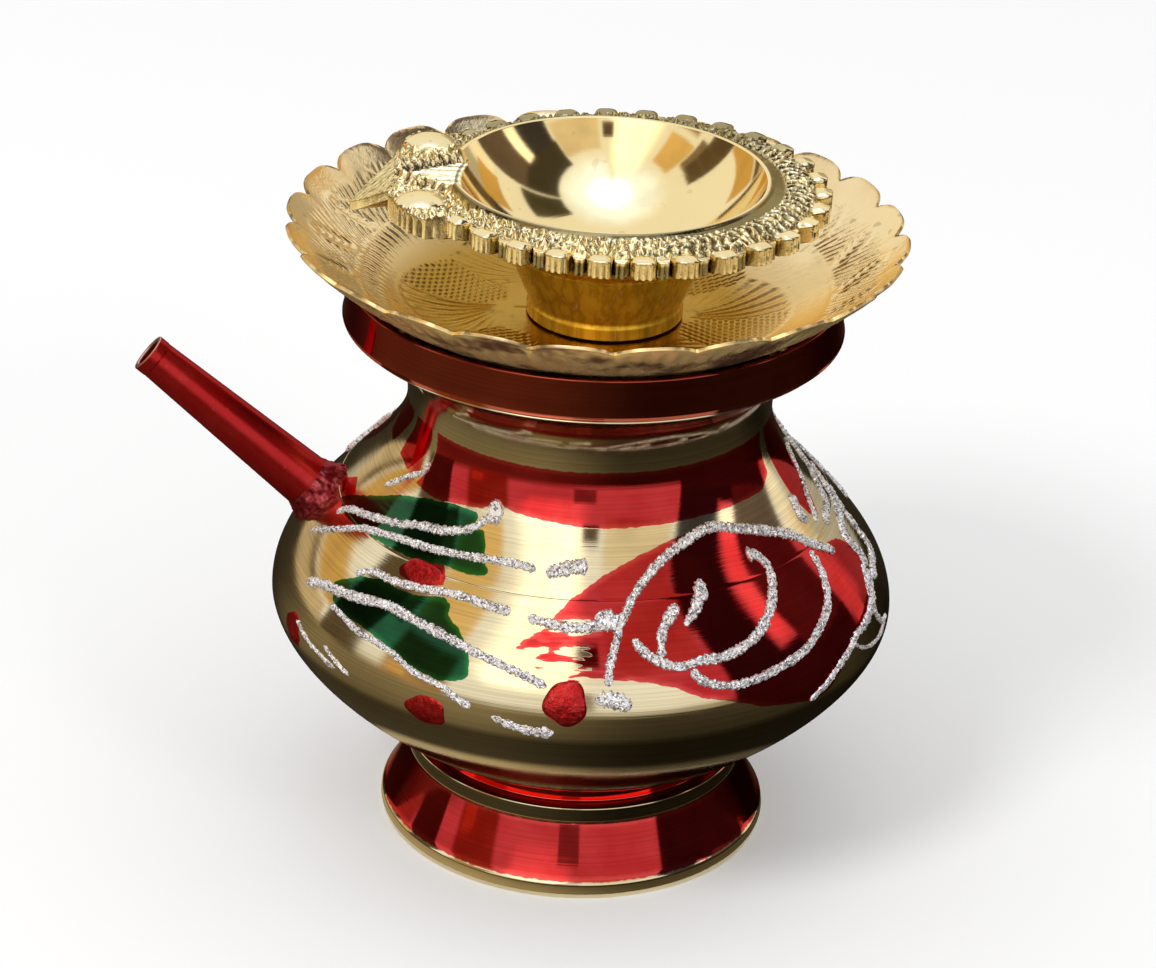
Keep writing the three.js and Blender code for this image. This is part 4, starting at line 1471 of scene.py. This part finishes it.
def white_for_metal(bench):
    """1 for camera, glossy and see-through rays."""
    path = bench.node("ShaderNodeLightPath")
    seen = bench.maths("MAXIMUM", path.outputs["Is Camera Ray"], path.outputs["Is Glossy Ray"])
    return bench.maths("MAXIMUM", seen, path.outputs["Is Transmission Ray"])


world = bpy.data.worlds.new("studio")
world.use_nodes = True
bpy.context.scene.world = world
surround = Bench(world.node_tree)
surround_light = world.node_tree.nodes["Background"]
surround_light.inputs["Color"].default_value = (1, 1, 1, 1)
surround_level = surround.maths("MULTIPLY_ADD", white_for_metal(surround), 1 - sky_level, sky_level)
surround.feed(surround_light.inputs["Strength"], surround_level)


def stage_piece(name, points, faces, material):
    mesh = bpy.data.meshes.new(name)
    mesh.from_pydata(points, [], faces)
    mesh.materials.append(material)
    piece = bpy.data.objects.new(name, mesh)
    bpy.context.scene.collection.objects.link(piece)
    return piece


def floor_finish():
    material, bench, shader, _ = new_material("pale floor")
    seen = white_for_metal(bench)
    bench.feed(shader.inputs["Base Color"], bench.mix(seen, (0.8, 0.8, 0.8, 1), (1, 1, 1, 1)))
    shader.inputs["Roughness"].default_value = 0.9
    shader.inputs["Specular IOR Level"].default_value = 0.0
    return material


floor_turns = np.linspace(0, 2 * pi, 48, endpoint=False)
floor_corners = [(floor_radius * cos(turn), floor_radius * sin(turn), 0) for turn in floor_turns]
stage_piece("floor", floor_corners, [tuple(range(48))], floor_finish())


def panel_finish(name, colour):
    """An even panel, whose cover value fades it out at its soft edges and shade value darkens it."""
    material = bpy.data.materials.new(name)
    material.use_nodes = True
    material.node_tree.nodes.clear()
    bench = Bench(material.node_tree)
    glow = bench.node("ShaderNodeEmission")
    cover = bench.node("ShaderNodeAttribute", attribute_name="cover").outputs["Fac"]
    shade = bench.node("ShaderNodeAttribute", attribute_name="shade").outputs["Fac"]
    cloud = bench.grain(bench.node("ShaderNodeTexCoord").outputs["Object"], 3.0, 3.0)
    tone = bench.maths("MULTIPLY", shade, bench.spread(cloud, 0.3, 0.7, 0.9, 1.1))
    bench.feed(glow.inputs["Color"], bench.mix(1.0, (*colour, 1), tone, "MULTIPLY"))
    clear = bench.node("ShaderNodeBsdfTransparent")
    blend = bench.node("ShaderNodeMixShader")
    bench.feed(blend.inputs[0], bench.spread(cover, 0.0, 1.0))
    bench.tree.links.new(clear.outputs[0], blend.inputs[1])
    bench.tree.links.new(glow.outputs[0], blend.inputs[2])
    output = bench.node("ShaderNodeOutputMaterial")
    bench.tree.links.new(blend.outputs[0], output.inputs["Surface"])
    return material


def only_in_metal(piece):
    piece.visible_camera = False
    piece.visible_diffuse = False
    piece.visible_shadow = False
    piece.visible_transmission = False


def soft_steps(low, high, low_fade, high_fade, count):
    """Places between two edges, with how solid a panel is at each."""
    inner = np.linspace(low + low_fade, high - high_fade, count)
    return np.concatenate(([low], inner, [high])), np.concatenate(([0.0], np.ones(count), [0.0]))


def panel(name, turns, slopes, colour, fade=2.0, ends=None, distance=card_distance):
    """Part of a ball round the lota, between two turns from straight behind it and two slopes from level."""
    low_fade, high_fade = ends or (fade, fade)
    turn_steps, turn_cover = soft_steps(*turns, fade, fade, 12)
    slope_steps, slope_cover = soft_steps(*slopes, low_fade, high_fade, 8)
    points = []
    covers = []
    for slope, solid in zip(np.radians(slope_steps), slope_cover):
        for turn, solid_here in zip(np.radians(turn_steps), turn_cover):
            way = Vector((sin(turn) * cos(slope), cos(turn) * cos(slope), sin(slope)))
            points.append(card_centre + way * distance)
            covers.append(solid * solid_here)
    across = len(turn_steps)
    faces = []
    for i in range(len(slope_steps) - 1):
        for j in range(across - 1):
            a = i * across + j
            faces.append((a, a + 1, a + across + 1, a + across))
    piece = stage_piece(name, points, faces, panel_finish(name, colour))
    add_values(piece.data, "cover", covers)
    add_values(piece.data, "shade", np.ones(len(covers)))
    only_in_metal(piece)


near = card_distance - 0.1
far = card_distance + 0.1
panel("front_left_glow", (-186, -134), (14, 80), (2.0, 1.9, 1.75), fade=14, distance=far + 0.1)
panel("overhead_glow", (-189, 189), (56, 90), (1.2, 1.4, 1.9), fade=18, ends=(18, 0.2), distance=far + 0.2)
panel("overhead_lamp", (-184, 184), (74, 90), (2.0, 2.5, 3.6), fade=8, ends=(10, 0.2), distance=far + 0.1)
panel("left_tan_panel", (-131, -103), (36, 60), (0.80, 0.54, 0.22), fade=2.5)
panel("left_brown_panel", (-136, -106), (-14, 34), (0.42, 0.26, 0.12), fade=4, distance=far)
panel("left_orange_patch", (-119, -109), (1, 12), (0.72, 0.42, 0.14), fade=2)
panel("left_dark_panel", (-97, -76), (-12, 50), (0.11, 0.075, 0.04), fade=1.5)
panel("left_dark_shelf", (-104, -80), (30, 51), (0.24, 0.17, 0.10), fade=2)
panel("left_orange_strip", (-77, -40), (9, 22), (0.68, 0.42, 0.13), fade=1.5)
panel("left_tan_strip", (-76, -34), (-6, 10), (0.60, 0.47, 0.30), fade=3, distance=far)
panel("left_brown_strip", (-66, -40), (5, 9), (0.16, 0.10, 0.04), fade=1)
panel("right_high_panel", (62, 126), (44, 64), (0.06, 0.05, 0.035), fade=2)
panel("right_brown_panel", (62, 89), (8, 47), (0.14, 0.10, 0.08), fade=2)
panel("right_black_panel", (84, 124), (-4, 22), (0.045, 0.04, 0.045), distance=far)
panel("right_black_door", (97, 124), (10, 49), (0.045, 0.04, 0.045), fade=2)
panel("right_bright_strip", (88, 97), (20, 46), (1.9, 1.6, 1.4), fade=1.5, ends=(9, 2), distance=near)
panel("right_low_panel", (62, 124), (-12, 12), (0.06, 0.04, 0.045), fade=2)
panel("right_edge_streak", (54, 62), (-12, 26), (1.1, 1.0, 0.85), fade=1.5, distance=near)
panel("right_orange_strip", (34, 56), (14, 28), (0.68, 0.42, 0.13), fade=1.5)
panel("right_olive_panel", (36, 62), (40, 64), (0.07, 0.06, 0.035), fade=2)
panel("behind_right_panel", (4, 54), (-7, 22), (0.50, 0.46, 0.40), fade=5, distance=far)
panel("front_right_tan", (124, 169), (33, 60), (0.80, 0.68, 0.50), fade=4)
panel("front_dark_square", (170, 181), (40, 51), (0.10, 0.06, 0.04), fade=1)
panel("front_brown_box", (173, 187), (4, 23), (0.36, 0.28, 0.25), fade=1)
panel("horizon", (-180, 180), (-8, 6), (0.40, 0.34, 0.24), fade=0.2, ends=(0.2, 8), distance=far + 0.2)

# The table's dark rings just outside the foot are the pot's painted shadow on it. Its bright rings at the
# foot's edge glow to light the foot's rim in reflection.
table_rings = (
    (foot_radius * MM + 0.0002, 1.9),
    (0.037, 1.7),
    (0.041, 0.22),
    (0.075, 0.2),
    (0.1, 0.7),
    (0.2, 1.0),
    (0.6, 1.1),
    (3.2, 1.3),
)
table_steps = 96
table_colour = (0.24, 0.19, 0.11)
table_points = []
table_shade = []
for radius, shade in table_rings:
    for turn in np.linspace(0, 2 * pi, table_steps, endpoint=False):
        table_points.append((pot_x * MM + radius * cos(turn), radius * sin(turn), 0.0004))
        side = 1 - 0.8 * float(smoothed(cos(turn + radians(20)), -0.2, 0.75))
        behind = 1 - 0.85 * float(smoothed(sin(turn), 0.1, 0.7))
        table_shade.append(shade * side * behind)
table_faces = ring_faces(len(table_rings), table_steps, closed=False)
table = stage_piece("dark_table", table_points, table_faces, panel_finish("dark table", table_colour))
add_values(table.data, "cover", np.ones(len(table_shade)))
add_values(table.data, "shade", table_shade)
only_in_metal(table)


def soft_lamp(name, place, size, power):
    """A round lamp that points at the middle of the lota."""
    data = bpy.data.lights.new(name, "AREA")
    data.shape = "DISK"
    data.size = size
    data.energy = power
    lamp_object = bpy.data.objects.new(name, data)
    lamp_object.visible_glossy = False
    lamp_object.location = place
    lamp_object.rotation_euler = (card_centre - Vector(place)).to_track_quat("-Z", "Y").to_euler()
    bpy.context.scene.collection.objects.link(lamp_object)


soft_lamp("window", (-0.75, -0.95, 1.25), 0.5, 9.0)
soft_lamp("fill", (0.9, -1.1, 0.9), 0.4, 2.5)
